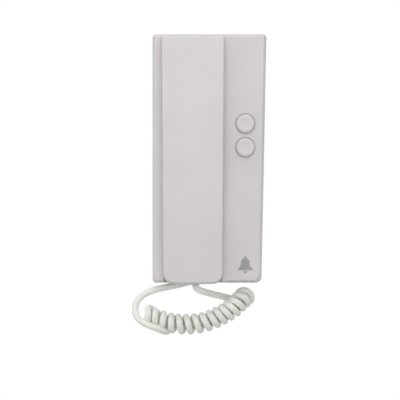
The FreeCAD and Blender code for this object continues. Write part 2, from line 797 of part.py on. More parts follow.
def make_rear_shell():
    body = new_body("handset_rear_shell")
    top, bottom, wall = dim["handset_top"], dim["handset_bottom"], dim["handset_wall"]
    parting, back, middle = dim["handset_parting"], dim["handset_back"], dim["handset_middle"]
    narrow = handset_outline(-dim["rear_inset"], top, bottom)
    outline = draw_polygon(new_sketch(body, "outline", offset=parting), narrow)
    pad(body, outline, parting - back, reverse=True, taper=-dim["handset_draft"])
    handset_corners(body)
    grip = new_sketch(body, "grip_arch", plane="YZ", offset=middle)
    high, low = dim["grip_top"], dim["grip_bottom"]
    draw_polygon(grip, [(-back + 1.2, high + 9.6), (-dim["grip_back"], high), (-dim["grip_back"], low),
                        (-back + 1.2, low - 9.6)])
    pocket(body, grip, 80, both=True)
    for name in ("ear", "mouth"):
        level, radius = dim[f"{name}_level"], dim[f"{name}_cup_radius"]
        cup = new_sketch(body, f"{name}_cup", offset=dim["cup_back"])
        draw_circle(cup, middle, level, radius)
        pad(body, cup, back - dim["cup_back"] + 1)
    low_half = dim["handset_bottom_half"] - dim["rear_inset"] - wall
    deep = dim["grip_back"] + wall
    tray = new_sketch(body, "grip_tray", offset=parting + 1)
    draw_rectangle(tray, middle - low_half, middle + low_half, bottom + wall + 1, top - wall - 1)
    pocket(body, tray, parting + 1 - deep)
    floor = back + wall
    wells = (("ear", high + 10.5, top - wall - 1), ("mouth", bottom + wall + 1, low - 10.5))
    for name, low_end, high_end in wells:
        well = new_sketch(body, f"{name}_tray", offset=deep + 1)
        draw_rectangle(well, middle - low_half, middle + low_half, low_end, high_end)
        pocket(body, well, deep + 1 - floor)
    for name, radius in (("ear", EAR_BORE), ("mouth", MOUTH_BORE)):
        bore = new_sketch(body, f"{name}_bore", offset=floor + 1)
        draw_circle(bore, middle, dim[f"{name}_level"], radius)
        pocket(body, bore, floor + 1 - dim["cup_back"] - wall)
    sound = new_sketch(body, "sound_holes", offset=floor)
    draw_circle(sound, middle, dim["ear_level"], 1.0)
    for i in range(6):
        angle = math.radians(60 * i)
        draw_circle(sound, middle + 5 * math.cos(angle), dim["ear_level"] + 5 * math.sin(angle), 1.0)
    for i in range(3):
        angle = math.radians(90 + 120 * i)
        draw_circle(sound, middle + 2.4 * math.cos(angle), dim["mouth_level"] + 2.4 * math.sin(angle), 0.9)
    pocket(body, sound, 8)
    hook = new_sketch(body, "lug_slot", plane="YZ", offset=middle)
    draw_polygon(hook, lug_profile(back - 1, floor + 1, dim["lug_gap"]))
    pocket(body, hook, dim["lug_width"] + 1, both=True)
    screws = new_sketch(body, "screw_holes", offset=deep + 1)
    for level in SHELL_SCREW_LEVELS:
        draw_circle(screws, middle, level, 1.6)
    pocket(body, screws, 8)
    cord = new_sketch(body, "cord_hole", plane="XY", offset=bottom + 5)
    draw_circle(cord, middle + GROMMET_SIDE, -parting, GROMMET_HOLE)
    pocket(body, cord, 10)
    return body


def make_earpiece_gasket():
    back = dim["cup_back"] + dim["handset_wall"]
    ring = disc("gasket_ring", dim["handset_middle"], dim["ear_level"], EAR_BORE - 0.2, back, back + 1.8)
    hole = disc("gasket_hole", dim["handset_middle"], dim["ear_level"], 10, back - 1, back + 3)
    return finished(cut("gasket", ring, [hole]), "earpiece_gasket")


def make_earpiece_capsule():
    back = dim["cup_back"] + dim["handset_wall"] + 1.8
    middle, level = dim["handset_middle"], dim["ear_level"]
    rim = disc("capsule_rim", middle, level, EAR_BORE - 0.3, back, back + 4)
    can = disc("capsule_can", middle, level, 11, back + 4, back + 9)
    return finished(join("capsule", [rim, can]), "earpiece_capsule")


def make_microphone_boot():
    back = dim["cup_back"] + dim["handset_wall"]
    middle, level = dim["handset_middle"], dim["mouth_level"]
    sleeve = disc("boot_sleeve", middle, level, MOUTH_BORE - 0.1, back, back + 6)
    hole = disc("boot_hole", middle, level, 4.9, back + 0.8, back + 7)
    port = disc("boot_port", middle, level, 1.5, back - 1, back + 2)
    return finished(cut("boot", sleeve, [hole, port]), "microphone_boot")


def make_microphone_capsule():
    back = dim["cup_back"] + dim["handset_wall"] + 0.8
    can = disc("microphone_can", dim["handset_middle"], dim["mouth_level"], 4.85, back, back + 4.5)
    return finished(can, "microphone_capsule")


def make_handset_screws():
    screws = []
    for i, level in enumerate(SHELL_SCREW_LEVELS):
        under = dim["grip_back"]
        x = dim["handset_middle"]
        shank = disc(f"shell_screw_{i}_shank", x, level, 1.15, under, under + 9)
        head = disc(f"shell_screw_{i}_head", x, level, 2.6, under - 1.7, under)
        slots = [block(f"shell_screw_{i}_cross_{j}", x - wide, x + wide, under - 3, under - 0.9, level - tall,
                       level + tall) for j, (wide, tall) in enumerate(((0.3, 1.5), (1.5, 0.3)))]
        screws.append(cut(f"shell_screw_{i}", join(f"shell_screw_{i}_blank", [shank, head]), slots))
    return finished(group("shell_screw_set", screws), "handset_screws")


def make_handset_weight():
    high, low = SHELL_SCREW_LEVELS
    middle, back = dim["handset_middle"], dim["grip_back"] + dim["handset_wall"]
    bar = block("weight_bar", middle - 8, middle + 8, back, back + 6, low + 5, high - 5)
    return finished(bar, "handset_weight")


def upright_cylinder(name, x, depth, radius, low, high):
    feature = doc.addObject("Part::Cylinder", name)
    bind(feature, "Radius", radius)
    bind(feature, "Height", as_size(high) - as_size(low))
    place(feature, x, depth, low)
    return feature


def make_handset_grommet():
    x, depth = dim["handset_middle"] + GROMMET_SIDE, dim["handset_parting"]
    bottom, inner = dim["handset_bottom"], dim["handset_bottom"] + dim["handset_wall"] + 1
    neck = upright_cylinder("grommet_neck", x, depth, GROMMET_HOLE - 0.1, bottom - 0.8, inner + 0.5)
    flange = upright_cylinder("grommet_flange", x, depth, 4.6, inner + 0.1, inner + 1.6)
    return finished(join("grommet", [neck, flange]), "handset_cord_grommet")


def lying_cone(name, radius_left, radius_right, left, right):
    """A cone along X at the cord relief's depth and level."""
    left, right = as_size(left), as_size(right)
    feature = doc.addObject("Part::Cone", name)
    bind(feature, "Radius1", radius_left)
    bind(feature, "Radius2", radius_right)
    bind(feature, "Height", right - left)
    feature.Placement.Rotation = Rotation(Vector(0, 1, 0), 90)
    place(feature, left, RELIEF_DEPTH, RELIEF_LEVEL)
    return feature


def make_base_relief():
    """A soft bush in the gully's right wall, tapering to the cord on the handset's side."""
    wall_face = dim["handset_middle"] + dim["handset_bottom_half"]
    neck_radius = RELIEF_RADIUS - 0.05
    tip_radius = dim["cord_radius"] + 0.3
    taper = lying_cone("relief_taper", tip_radius, neck_radius, wall_face - RELIEF_LENGTH, wall_face)
    neck = lying_cone("relief_neck", neck_radius, neck_radius + 0.001, wall_face, wall_face + 3)
    flange = lying_cone("relief_flange", neck_radius + 0.5, neck_radius + 0.4, wall_face + 3, wall_face + 4.2)
    return finished(join("relief", [taper, neck, flange]), "base_cord_relief")


# --------------------------------------------------------------------------------------------------
# Cord. Each route is a list of points (x, depth, z), chosen by hand, and the tube is straight runs
# joined by tangent arcs.
# --------------------------------------------------------------------------------------------------

BASE_TAIL = [
    (7.5, 12.0, -96.0), (0.0, 12.0, -96.0), (-10.5, 12.2, -100.4), (-23.0, 12.6, -104.0),
    (-36.0, 13.0, -106.6), (-48.0, 13.6, -109.2), (-56.2, 14.4, -113.2), (-60.9, 15.6, -119.2),
    (-61.8, 17.0, -126.4), (-58.6, 20.6, -132.6), (-52.4, 23.8, -136.8), (-45.0, 24.6, -138.6),
]
COIL_AXIS = [
    (-50.6, 19.0, -131.0), (-37.6, 20.0, -136.2), (-21.5, 20.0, -137.4), (-6.0, 20.0, -136.2),
    (7.0, 20.0, -131.0), (18.0, 19.0, -124.0), (25.5, 14.0, -116.0), (28.6, 6.0, -112.4),
    (28.6, 0.6, -112.4),
]
HANDSET_TAIL = [
    (-11.75, 33.0, -104.8), (-11.75, 33.0, -108.0), (-9.8, 32.0, -110.6), (-4.0, 28.6, -112.0),
    (3.0, 20.5, -113.0), (10.0, 11.0, -114.4), (16.6, 5.2, -115.8), (22.6, 3.7, -117.2),
    (28.6, 3.6, -118.1),
]


def cord_path(points):
    """Straight runs joined by tangent arcs as large as the runs allow, and the smallest radius."""
    corners = [Vector(x, -depth, z) for x, depth, z in points]
    edges, start, smallest = [], corners[0], math.inf
    for before, corner, after in zip(corners, corners[1:], corners[2:]):
        incoming, outgoing = corner - before, after - corner
        turn = incoming.getAngle(outgoing)
        reach = 0.45 * min(incoming.Length, outgoing.Length)
        smallest = min(smallest, reach / math.tan(turn / 2))
        into, out = Vector(incoming).normalize(), Vector(outgoing).normalize()
        enter, leave = corner - into * reach, corner + out * reach
        inward = (out - into).normalize()
        middle = corner + inward * reach * (1 / math.cos(turn / 2) - 1) / math.tan(turn / 2)
        edges.append(Part.LineSegment(start, enter).toShape())
        edges.append(Part.Arc(enter, middle, leave).toShape())
        start = leave
    edges.append(Part.LineSegment(start, corners[-1]).toShape())
    return Part.Wire(edges), smallest


def make_tube(label, points, radius):
    wire, smallest = cord_path(points)
    first = wire.Edges[0]
    direction = first.tangentAt(first.FirstParameter)
    section = Part.Wire([Part.makeCircle(radius, wire.Vertexes[0].Point, direction)])
    shape = wire.makePipeShell([section], True, False, 2)
    expected = math.pi * radius**2 * wire.Length
    share = shape.Volume / expected
    print(f"{label}: length {wire.Length:.1f}, smallest radius {smallest:.1f}, volume {share:.4f}")
    feature = doc.addObject("Part::Feature", label)
    feature.Shape = shape
    return feature


def make_cord():
    cord_radius, coil_radius = dim["cord_radius"].value, dim["coil_radius"].value
    return [
        make_tube("cord_base_tail", BASE_TAIL, cord_radius),
        make_tube("cord_coil", COIL_AXIS, coil_radius),
        make_tube("cord_handset_tail", HANDSET_TAIL, cord_radius),
    ]


# --------------------------------------------------------------------------------------------------
# Making, checking and writing every piece
# --------------------------------------------------------------------------------------------------


def make_button_spring(label, level):
    under = dim["base_depth"] - dim["cover_wall"] - 0.5 - 1.7
    return make_spring(label, dim["button_column"], level, board_face() + 0.05, under - 0.05, 5.2, 0.35, 5.5)


def make_hook_spring():
    face = dim["plate_thickness"]
    return make_spring("hook_spring", dim["handset_middle"], dim["pivot_level"] + 17.5, face + 0.05,
                       dim["pivot_depth"] - 2.0, 2.2, 0.3, 5)


def make_pieces():
    upper, lower = dim["button_upper_level"], dim["button_lower_level"]
    return [
        make_wall_plate(),
        make_base_cover(),
        make_circuit_board(),
        make_board_components(),
        make_terminal_block(),
        make_terminal_screws(),
        make_sounder(),
        make_button_switches(),
        make_board_screws(),
        make_cover_screws(),
        make_hook_lever(),
        make_hook_pin(),
        make_hook_spring(),
        make_hook_switch(),
        make_button("button_cap_upper", upper),
        make_button("button_cap_lower", lower),
        make_button_spring("button_spring_upper", upper),
        make_button_spring("button_spring_lower", lower),
        make_base_relief(),
        make_front_shell(),
        make_rear_shell(),
        make_earpiece_gasket(),
        make_earpiece_capsule(),
        make_microphone_boot(),
        make_microphone_capsule(),
        make_handset_screws(),
        make_handset_weight(),
        make_handset_grommet(),
        *make_cord(),
    ]


def check(pieces):
    """Stops with a message if any object failed or any piece has no sound shape."""
    for item in doc.Objects:
        if "Invalid" in item.State or "Error" in item.State:
            raise RuntimeError(f"{item.Name} failed: {item.State}")
    for piece in pieces:
        if piece.Shape.isNull() or not piece.Shape.isValid() or not piece.Shape.Solids:
            raise RuntimeError(f"{piece.Label} has no sound solid")


def write(pieces):
    os.makedirs("parts", exist_ok=True)
    for piece in pieces:
        piece.Shape.exportStep(f"parts/{piece.Label}.step")


all_pieces = make_pieces()
doc.recompute()
check(all_pieces)
write(all_pieces)
for piece in all_pieces:
    print(piece.Label, len(piece.Shape.Solids), round(piece.Shape.Volume, 1))
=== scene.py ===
"""Slim wall telephone: smooth shells, buttons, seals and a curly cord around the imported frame.

Metres, in the frame's axes: +Z up, the front faces -Y and the wall is the plane Y = 0. A depth is a distance from
the wall towards the front, so a point at depth d has Y = -d.
"""

import json
import math

import bmesh
import bpy
from mathutils import Matrix, Vector


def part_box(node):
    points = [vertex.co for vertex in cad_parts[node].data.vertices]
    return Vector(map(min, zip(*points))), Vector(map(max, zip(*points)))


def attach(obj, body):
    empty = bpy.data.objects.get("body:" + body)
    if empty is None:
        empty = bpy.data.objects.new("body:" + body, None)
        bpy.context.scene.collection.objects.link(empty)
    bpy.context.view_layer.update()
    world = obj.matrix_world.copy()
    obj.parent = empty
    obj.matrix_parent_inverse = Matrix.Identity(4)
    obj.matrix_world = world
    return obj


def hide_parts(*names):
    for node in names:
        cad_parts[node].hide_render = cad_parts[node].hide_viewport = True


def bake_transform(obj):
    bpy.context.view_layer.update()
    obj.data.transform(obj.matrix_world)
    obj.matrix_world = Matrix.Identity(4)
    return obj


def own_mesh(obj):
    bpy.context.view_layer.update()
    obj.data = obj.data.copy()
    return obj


bl_info = {
    "name": "Slim Wall Telephone",
    "version": (1, 0, 0),
    "blender": (4, 5, 0),
    "location": "View3D > Sidebar > Telephone",
    "description": "Builds the visible pieces of a slim wall telephone around its packed frame",
    "category": "Add Mesh",
}

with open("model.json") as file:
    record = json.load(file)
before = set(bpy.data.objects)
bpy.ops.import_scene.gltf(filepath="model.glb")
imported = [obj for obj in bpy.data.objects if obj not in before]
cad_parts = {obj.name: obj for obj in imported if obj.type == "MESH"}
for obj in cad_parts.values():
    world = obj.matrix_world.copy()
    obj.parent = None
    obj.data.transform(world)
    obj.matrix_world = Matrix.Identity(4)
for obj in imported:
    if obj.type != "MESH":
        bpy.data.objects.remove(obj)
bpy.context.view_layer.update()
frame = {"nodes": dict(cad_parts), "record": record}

MM = 0.001

# ---- Sizes that follow from the frame ----

cover_low, cover_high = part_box("base_cover")
front_low, front_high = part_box("handset_front_shell")
upper_low, upper_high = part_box("button_cap_upper")
lower_low, lower_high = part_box("button_cap_lower")

BASE_HALF_HEIGHT = cover_high.z
BASE_LEFT = cover_low.x
BASE_RIGHT_TOP = -cover_low.x
BASE_RIGHT_TAPER = 4.15 * MM
BASE_DEPTH = -cover_low.y
BASE_DRAFT = 1.7 * MM
BED_DEPTH = 17.0 * MM
RECESS_DEPTH = 12.5 * MM
GULLY_DEPTH = 7.5 * MM
GULLY_TOP = -88.0 * MM
BED_TUCK = 0.4 * MM
RIM_SLACK = 0.3 * MM
BED_EDGE = 0.3 * MM

HANDSET_MIDDLE = (front_low.x + front_high.x) / 2
HANDSET_TOP = front_high.z
HANDSET_BOTTOM = front_low.z
HANDSET_TOP_HALF = (front_high.x - front_low.x) / 2
HANDSET_BOTTOM_HALF = HANDSET_TOP_HALF - 1.5 * MM
REAR_INSET = 1.2 * MM
HANDSET_FRONT = 46.5 * MM
HANDSET_BOW = 3.5 * MM
PARTING = 33.0 * MM
HANDSET_BACK = 18.0 * MM
GRIP_BACK = 23.0 * MM
GRIP_TOP = 26.0 * MM
GRIP_BOTTOM = -42.0 * MM
CUP_BACK = 14.5 * MM
EAR_LEVEL = 72.0 * MM
MOUTH_LEVEL = -70.0 * MM
EAR_CUP = 17.0 * MM
MOUTH_CUP = 14.0 * MM
LUG_LEVEL = 44.0 * MM
LUG_SLOPE = 0.7
LUG_THICKNESS = 4.2 * MM
LUG_WIDTH = 10.0 * MM
LUG_TIP = 24.0 * MM
LEVER_SLOT = (24.0 * MM, 41.0 * MM)
SHELL_SCREWS = (6.0 * MM, -34.0 * MM)
COVER_SCREW_SIDE = 14.0 * MM
COVER_SCREW_LEVEL = -44.0 * MM
CORD_LEAVES_HANDSET = HANDSET_MIDDLE + 1.9 * MM

BUTTON_COLUMN = (upper_low.x + upper_high.x) / 2
BUTTON_LEVELS = {"upper": (upper_low.z + upper_high.z) / 2, "lower": (lower_low.z + lower_high.z) / 2}
BUTTON_HOLE = 8.25 * MM
BUTTON_TOP = -upper_low.y
BUTTON_STEM_END = -upper_high.y

RELIEF_LEVEL = -96.0 * MM
RELIEF_DEPTH = 12.0 * MM


# ---- Settings that a user would change ----


def colour_property(name, description, default):
    return bpy.props.FloatVectorProperty(name=name, description=description, default=default, subtype="COLOR",
                                         size=3, min=0.0, max=1.0)


def length_property(name, description, default):
    return bpy.props.FloatProperty(name=name, description=description, default=default, unit="LENGTH", min=0.0,
                                   precision=5)


def power_property(name, description, default):
    return bpy.props.FloatProperty(name=name, description=description, default=default, min=0)


class TelephoneFinish(bpy.types.PropertyGroup):
    """Colours and surface of the mouldings and the cord."""

    shell_colour: colour_property("Shell", "Colour of the moulded shells", (0.728, 0.722, 0.712))
    button_colour: colour_property("Buttons", "Colour of the two caps", (0.750, 0.742, 0.734))
    cord_colour: colour_property("Cord", "Colour of the cord's soft jacket", (0.935, 0.985, 0.900))
    symbol_colour: colour_property("Symbol", "Colour of the printed bell", (0.40, 0.405, 0.40))
    shell_roughness: bpy.props.FloatProperty(name="Roughness", description="Roughness of the mouldings",
                                             default=0.42, min=0.0, max=1.0, subtype="FACTOR")


class TelephoneShape(bpy.types.PropertyGroup):
    """Edge radii and wall thickness of the mouldings."""

    wall: length_property("Wall", "Wall thickness of the mouldings", 1.8 * MM)
    base_corner: length_property("Base corner", "Radius of three of the base's corners", 3.0 * MM)
    base_big_corner: length_property("Big corner", "Radius of the base's lower right corner", 5.0 * MM)
    base_edge: length_property("Base edge", "Rounding of the base's front edges", 1.1 * MM)
    handset_top_corner: length_property("Handset top corner", "Radius of the handset's upper corners", 1.9 * MM)
    handset_low_corner: length_property("Handset low corner", "Radius of the handset's lower corners", 7.4 * MM)
    handset_edge: length_property("Handset edge", "Rounding of the handset's face", 1.0 * MM)
    crown: length_property("Crown", "How far the handset's face falls to its long edges", 0.7 * MM)


class TelephoneCord(bpy.types.PropertyGroup):
    """The curly cord."""

    thickness: length_property("Thickness", "Diameter of the cord", 5.4 * MM)
    coil_radius: length_property("Coil radius", "From the coil's axis to the middle of the cord", 5.9 * MM)
    loose_pitch: length_property("Loose pitch", "Distance between turns where the coil is stretched", 7.1 * MM)
    tight_pitch: length_property("Tight pitch", "Distance between turns where the coil is closed", 5.6 * MM)


class TelephoneStage(bpy.types.PropertyGroup):
    """Camera and light."""

    camera_distance: length_property("Camera distance", "From the wall plane to the camera", 8.0)
    front_power: power_property("Front light", "Power of the lamp beside the camera", 21.0)
    top_power: power_property("Top light", "Power of the lamp above", 2.3)
    left_power: power_property("Left light", "Power of the lamp at the left", 4.5)
    world_strength: power_property("World", "Strength of the light from all round", 0.46)


# ---- Mesh helpers ----

SHARP_ANGLE = math.radians(32)


def at(x, depth, z):
    """The point at a depth from the wall."""
    return Vector((x, -depth, z))


def mesh_of(bm, name, sharp=SHARP_ANGLE):
    """Closes a bmesh into a smooth-shaded mesh with its faces outwards and its real edges sharp."""
    bmesh.ops.remove_doubles(bm, verts=bm.verts, dist=1e-7)
    bmesh.ops.dissolve_degenerate(bm, edges=bm.edges, dist=1e-8)
    bmesh.ops.recalc_face_normals(bm, faces=bm.faces)
    mesh = bpy.data.meshes.new(name)
    bm.to_mesh(mesh)
    bm.free()
    smooth(mesh, sharp)
    return mesh


def smooth(mesh, sharp=SHARP_ANGLE):
    mesh.shade_smooth()
    mesh.set_sharp_from_angle(angle=sharp)


def object_of(mesh):
    obj = bpy.data.objects.new(mesh.name, mesh)
    bpy.context.scene.collection.objects.link(obj)
    return obj


def dress(obj, material, body, replaced=()):
    """Gives a piece its material, its body and the frame nodes that it stands for."""
    obj.data.materials.clear()
    obj.data.materials.append(material)
    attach(obj, body)
    if replaced:
        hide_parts(*replaced)
    return obj


def finish_shell(obj, body, node):
    """Shades a shell and lets it stand for its frame node."""
    smooth(obj.data)
    weight_normals(obj)
    dress(obj, shell_material(), body, [node])


def weight_normals(obj):
    """Keeps flat faces flat beside rounded edges."""
    modifier = obj.modifiers.new("weighted_normals", "WEIGHTED_NORMAL")
    modifier.keep_sharp = True
    modifier.weight = 80
    return obj


def applied(obj):
    """Replaces the object's mesh with what its modifiers make of it."""
    depsgraph = bpy.context.evaluated_depsgraph_get()
    mesh = bpy.data.meshes.new_from_object(obj.evaluated_get(depsgraph))
    mesh.name = obj.name
    obj.modifiers.clear()
    obj.data = mesh
    return obj


def combine(obj, tool_bm, operation):
    """Joins a closed shape to the object or cuts it away, and removes the shape."""
    tool = object_of(mesh_of(tool_bm, "tool"))
    modifier = obj.modifiers.new("combine", "BOOLEAN")
    modifier.operation = operation
    modifier.solver = "EXACT"
    modifier.object = tool
    applied(obj)
    bpy.data.objects.remove(tool)
    return obj


def box_into(bm, low, high):
    """Adds a box between two (x, depth, z) corners."""
    size = [b - a for a, b in zip(low, high)]
    middle = [(a + b) / 2 for a, b in zip(low, high)]
    place = Matrix.Translation(at(*middle)) @ Matrix.Diagonal((*size, 1))
    return bmesh.ops.create_cube(bm, size=1.0, matrix=place)["verts"]


def extruded(bm, face):
    """Extrudes a face on the spot and gives the vertices of its far end."""
    made = bmesh.ops.extrude_face_region(bm, geom=[face])["geom"]
    return [item for item in made if isinstance(item, bmesh.types.BMVert)]


FACING = {
    "out": Matrix.Rotation(math.radians(90), 4, "X"),
    "up": Matrix.Identity(4),
    "across": Matrix.Rotation(math.radians(90), 4, "Y"),
}


def turn_into(bm, profile, centre, facing="out", steps=64):
    """Spins a profile of (radius, height) points about an axis through centre.

    The axis runs out of the wall, up, or across to +X. Heights are counted along it from centre.
    """
    before = set(bm.verts)
    made = [bm.verts.new((radius, 0, height)) for radius, height in profile]
    edges = [bm.edges.new(pair) for pair in zip(made, made[1:])]
    bmesh.ops.spin(bm, geom=made + edges, cent=(0, 0, 0), axis=(0, 0, 1), dvec=(0, 0, 0), angle=math.tau,
                   steps=steps, use_merge=True, use_duplicate=False)
    grown = [vert for vert in bm.verts if vert not in before]
    place = Matrix.Translation(centre) @ FACING[facing]
    bmesh.ops.transform(bm, matrix=place, verts=grown)
    bmesh.ops.remove_doubles(bm, verts=grown, dist=1e-7)


def rod(radius, low, high):
    return [(0, low), (radius, low), (radius, high), (0, high)]


def arc(centre_radius, centre_height, radius, start, end, count=6):
    """Points on an arc in a profile, its angles in degrees from the outward direction."""
    points = []
    for i in range(count + 1):
        angle = math.radians(start + (end - start) * i / count)
        points.append((centre_radius + radius * math.cos(angle), centre_height + radius * math.sin(angle)))
    return points


def bevel(bm, edges, radius, segments):
    bmesh.ops.bevel(bm, geom=list(edges), offset=radius, offset_type="OFFSET", segments=segments, profile=0.5,
                    affect="EDGES", clamp_overlap=True, material=-1)


def cut_across(bm, place, normal):
    """Adds a line of edges where a plane crosses the faces."""
    bmesh.ops.bisect_plane(bm, geom=bm.verts[:] + bm.edges[:] + bm.faces[:], plane_co=place, plane_no=normal,
                           dist=1e-6)


def depth_of(vert):
    return -vert.co.y


def edges_at(bm, test):
    return [edge for edge in bm.edges if test(*edge.verts)]


# ---- Material helpers ----


NOISE_MIDDLE = (0.35, 0.65)  # most of a noise's values lie between these


def skin_group():
    """Moulded skin: a fine spark-eroded grain, faint tone drift and handling sheen, shared by every plastic."""
    name = "moulded_skin"
    if name in bpy.data.node_groups:
        return bpy.data.node_groups[name]
    group = bpy.data.node_groups.new(name, "ShaderNodeTree")
    inputs = (("Colour", "NodeSocketColor", (0.8, 0.8, 0.8, 1)), ("Drift", "NodeSocketFloat", 0.03),
              ("Roughness", "NodeSocketFloat", 0.4), ("Grain Scale", "NodeSocketFloat", 2600.0),
              ("Grain Height", "NodeSocketFloat", 0.00001), ("Soil", "NodeSocketFloat", 0.04))
    for title, kind, default in inputs:
        group.interface.new_socket(title, in_out="INPUT", socket_type=kind).default_value = default
    for title, kind in (("Colour", "NodeSocketColor"), ("Roughness", "NodeSocketFloat"),
                        ("Normal", "NodeSocketVector")):
        group.interface.new_socket(title, in_out="OUTPUT", socket_type=kind)
    source = group.nodes.new("NodeGroupInput").outputs
    result = group.nodes.new("NodeGroupOutput").inputs
    place = group.nodes.new("ShaderNodeTexCoord").outputs["Object"]
    drift = spread(group, noise(group, place, 22.0, 3.0), *NOISE_MIDDLE)
    specks = spread(group, noise(group, place, 420.0, 4.0), 0.62, 0.78)
    grain = noise(group, place, source["Grain Scale"], 2.0)
    level = math_node(group, "SUBTRACT", 1.0, math_node(group, "MULTIPLY", drift, source["Drift"]))
    tone = mix_colour(group, "MULTIPLY", 1.0, source["Colour"], level)
    soil = math_node(group, "MULTIPLY", specks, source["Soil"])
    feed(group, result["Colour"], mix_colour(group, "MIX", soil, tone, (0.42, 0.39, 0.35, 1)))
    feed(group, result["Roughness"], math_node(group, "MULTIPLY_ADD", drift, 0.10, source["Roughness"]))
    bump = group.nodes.new("ShaderNodeBump")
    bump.inputs["Strength"].default_value = 1.0
    bump.inputs["Distance"].default_value = 1.0
    feed(group, bump.inputs["Height"], math_node(group, "MULTIPLY", grain, source["Grain Height"]))
    feed(group, result["Normal"], bump.outputs["Normal"])
    return group


def feed(tree, socket, value):
    """Links another socket to a socket, or gives it a value of its own."""
    if isinstance(value, bpy.types.NodeSocket):
        tree.links.new(value, socket)
    else:
        socket.default_value = value


def noise(tree, place, scale, detail):
    node = tree.nodes.new("ShaderNodeTexNoise")
    for title, value in (("Vector", place), ("Scale", scale), ("Detail", detail)):
        feed(tree, node.inputs[title], value)
    return node.outputs["Fac"]


def spread(tree, value, low, high):
    """Spreads the values between low and high over 0 to 1."""
    node = tree.nodes.new("ShaderNodeMapRange")
    for title, given in (("Value", value), ("From Min", low), ("From Max", high)):
        feed(tree, node.inputs[title], given)
    return node.outputs["Result"]


def math_node(tree, operation, *values):
    node = tree.nodes.new("ShaderNodeMath")
    node.operation = operation
    for socket, value in zip(node.inputs, values):
        feed(tree, socket, value)
    return node.outputs[0]


def mix_colour(tree, blend, factor, first, second):
    """A colour mix. A Mix node repeats its sockets' names, so they are reached by their colour places."""
    node = tree.nodes.new("ShaderNodeMix")
    node.data_type = "RGBA"
    node.blend_type = blend
    for index, value in ((0, factor), (6, first), (7, second)):
        feed(tree, node.inputs[index], value)
    return node.outputs[2]



def new_material(name):
    material = bpy.data.materials.new(name)
    material.use_nodes = True
    shader = material.node_tree.nodes["Principled BSDF"]
    return material, material.node_tree, shader


SOFT_REACH = (2.2 * MM, 2.2 * MM, 2.0 * MM)


def moulded(name, colour, roughness, drift=0.03, grain=2600.0, height=0.012 * MM, soil=0.03, coat=0.0, soft=0.0,
            specular=0.5):
    """A plastic or rubber with the shared moulded skin."""
    if name in bpy.data.materials:
        return bpy.data.materials[name]
    material, tree, shader = new_material(name)
    skin = tree.nodes.new("ShaderNodeGroup")
    skin.node_tree = skin_group()
    for title, value in (("Colour", (*colour, 1)), ("Drift", drift), ("Roughness", roughness),
                         ("Grain Scale", grain), ("Grain Height", height), ("Soil", soil)):
        skin.inputs[title].default_value = value
    for title, target in (("Colour", "Base Color"), ("Roughness", "Roughness"), ("Normal", "Normal")):
        tree.links.new(skin.outputs[title], shader.inputs[target])
    shader.inputs["Coat Weight"].default_value = coat
    shader.inputs["Coat Roughness"].default_value = 0.25
    shader.inputs["Specular IOR Level"].default_value = specular
    if soft:
        shader.inputs["Subsurface Weight"].default_value = soft
        shader.inputs["Subsurface Radius"].default_value = SOFT_REACH
        shader.inputs["Subsurface Scale"].default_value = 1.0
    return material


def metal(name, colour, roughness, scratches=700.0):
    """A bare metal with fine drawn marks."""
    if name in bpy.data.materials:
        return bpy.data.materials[name]
    material, tree, shader = new_material(name)
    place = tree.nodes.new("ShaderNodeTexCoord")
    stretch = tree.nodes.new("ShaderNodeMapping")
    stretch.inputs["Scale"].default_value = (1.0, 6.0, 1.0)
    feed(tree, stretch.inputs["Vector"], place.outputs["Object"])
    marks = spread(tree, noise(tree, stretch.outputs["Vector"], scratches, 5.0), *NOISE_MIDDLE)
    feed(tree, shader.inputs["Roughness"], math_node(tree, "MULTIPLY_ADD", marks, 0.18, roughness - 0.09))
    dark = tuple(part * 0.8 for part in colour)
    feed(tree, shader.inputs["Base Color"], mix_colour(tree, "MIX", marks, (*dark, 1), (*colour, 1)))
    shader.inputs["Metallic"].default_value = 1.0
    return material


def shell_material():
    finish = bpy.context.scene.telephone_finish
    return moulded("shell_plastic", finish.shell_colour, finish.shell_roughness)


def button_material():
    finish = bpy.context.scene.telephone_finish
    return moulded("button_plastic", finish.button_colour, 0.34, drift=0.02, height=0.006 * MM, soil=0.02)


def spring_wire():
    return metal("spring_wire", (0.50, 0.50, 0.52), 0.28, 1600.0)


def soft_material():
    return moulded("soft_sleeve", (0.70, 0.72, 0.68), 0.5, drift=0.05, grain=900.0, soil=0.05)


# ---- Cord ----

BASE_TAIL = [
    (0.0075, -0.0120, -0.0960), (0.0000, -0.0120, -0.0960), (-0.0105, -0.0122, -0.1004),
    (-0.0230, -0.0126, -0.1040), (-0.0360, -0.0130, -0.1066), (-0.0480, -0.0136, -0.1092),
    (-0.0562, -0.0144, -0.1132), (-0.0609, -0.0156, -0.1192), (-0.0618, -0.0170, -0.1264),
    (-0.0596, -0.0210, -0.1322), (-0.0540, -0.0256, -0.1364), (-0.0470, -0.0276, -0.1392),
    (-0.0395, -0.0258, -0.1422), (-0.0350, -0.0188, -0.1438), (-0.0346, -0.0108, -0.1408),
    (-0.0380, -0.0080, -0.1332), (-0.0440, -0.0086, -0.1268), (-0.0498, -0.0128, -0.1232),
]
COIL_AXIS = [
    (-0.0522, -0.0190, -0.1292), (-0.0455, -0.0192, -0.1308), (-0.0390, -0.0194, -0.1334),
    (-0.0310, -0.0198, -0.1366), (-0.0200, -0.0200, -0.1374), (-0.0060, -0.0200, -0.1362),
    (0.0070, -0.0200, -0.1314), (0.0180, -0.0196, -0.1248), (0.0256, -0.0172, -0.1176),
    (0.0300, -0.0112, -0.1132), (0.0314, -0.0030, -0.1114),
]
HANDSET_TAIL = [
    (0.0226, -0.0037, -0.1172), (0.0166, -0.0052, -0.1156), (0.0100, -0.0110, -0.1141),
    (0.0032, -0.0205, -0.1124), (-0.0050, -0.0296, -0.1102), (-0.0113, -0.0328, -0.1076),
    (-0.01175, -0.0330, -0.1048),
]
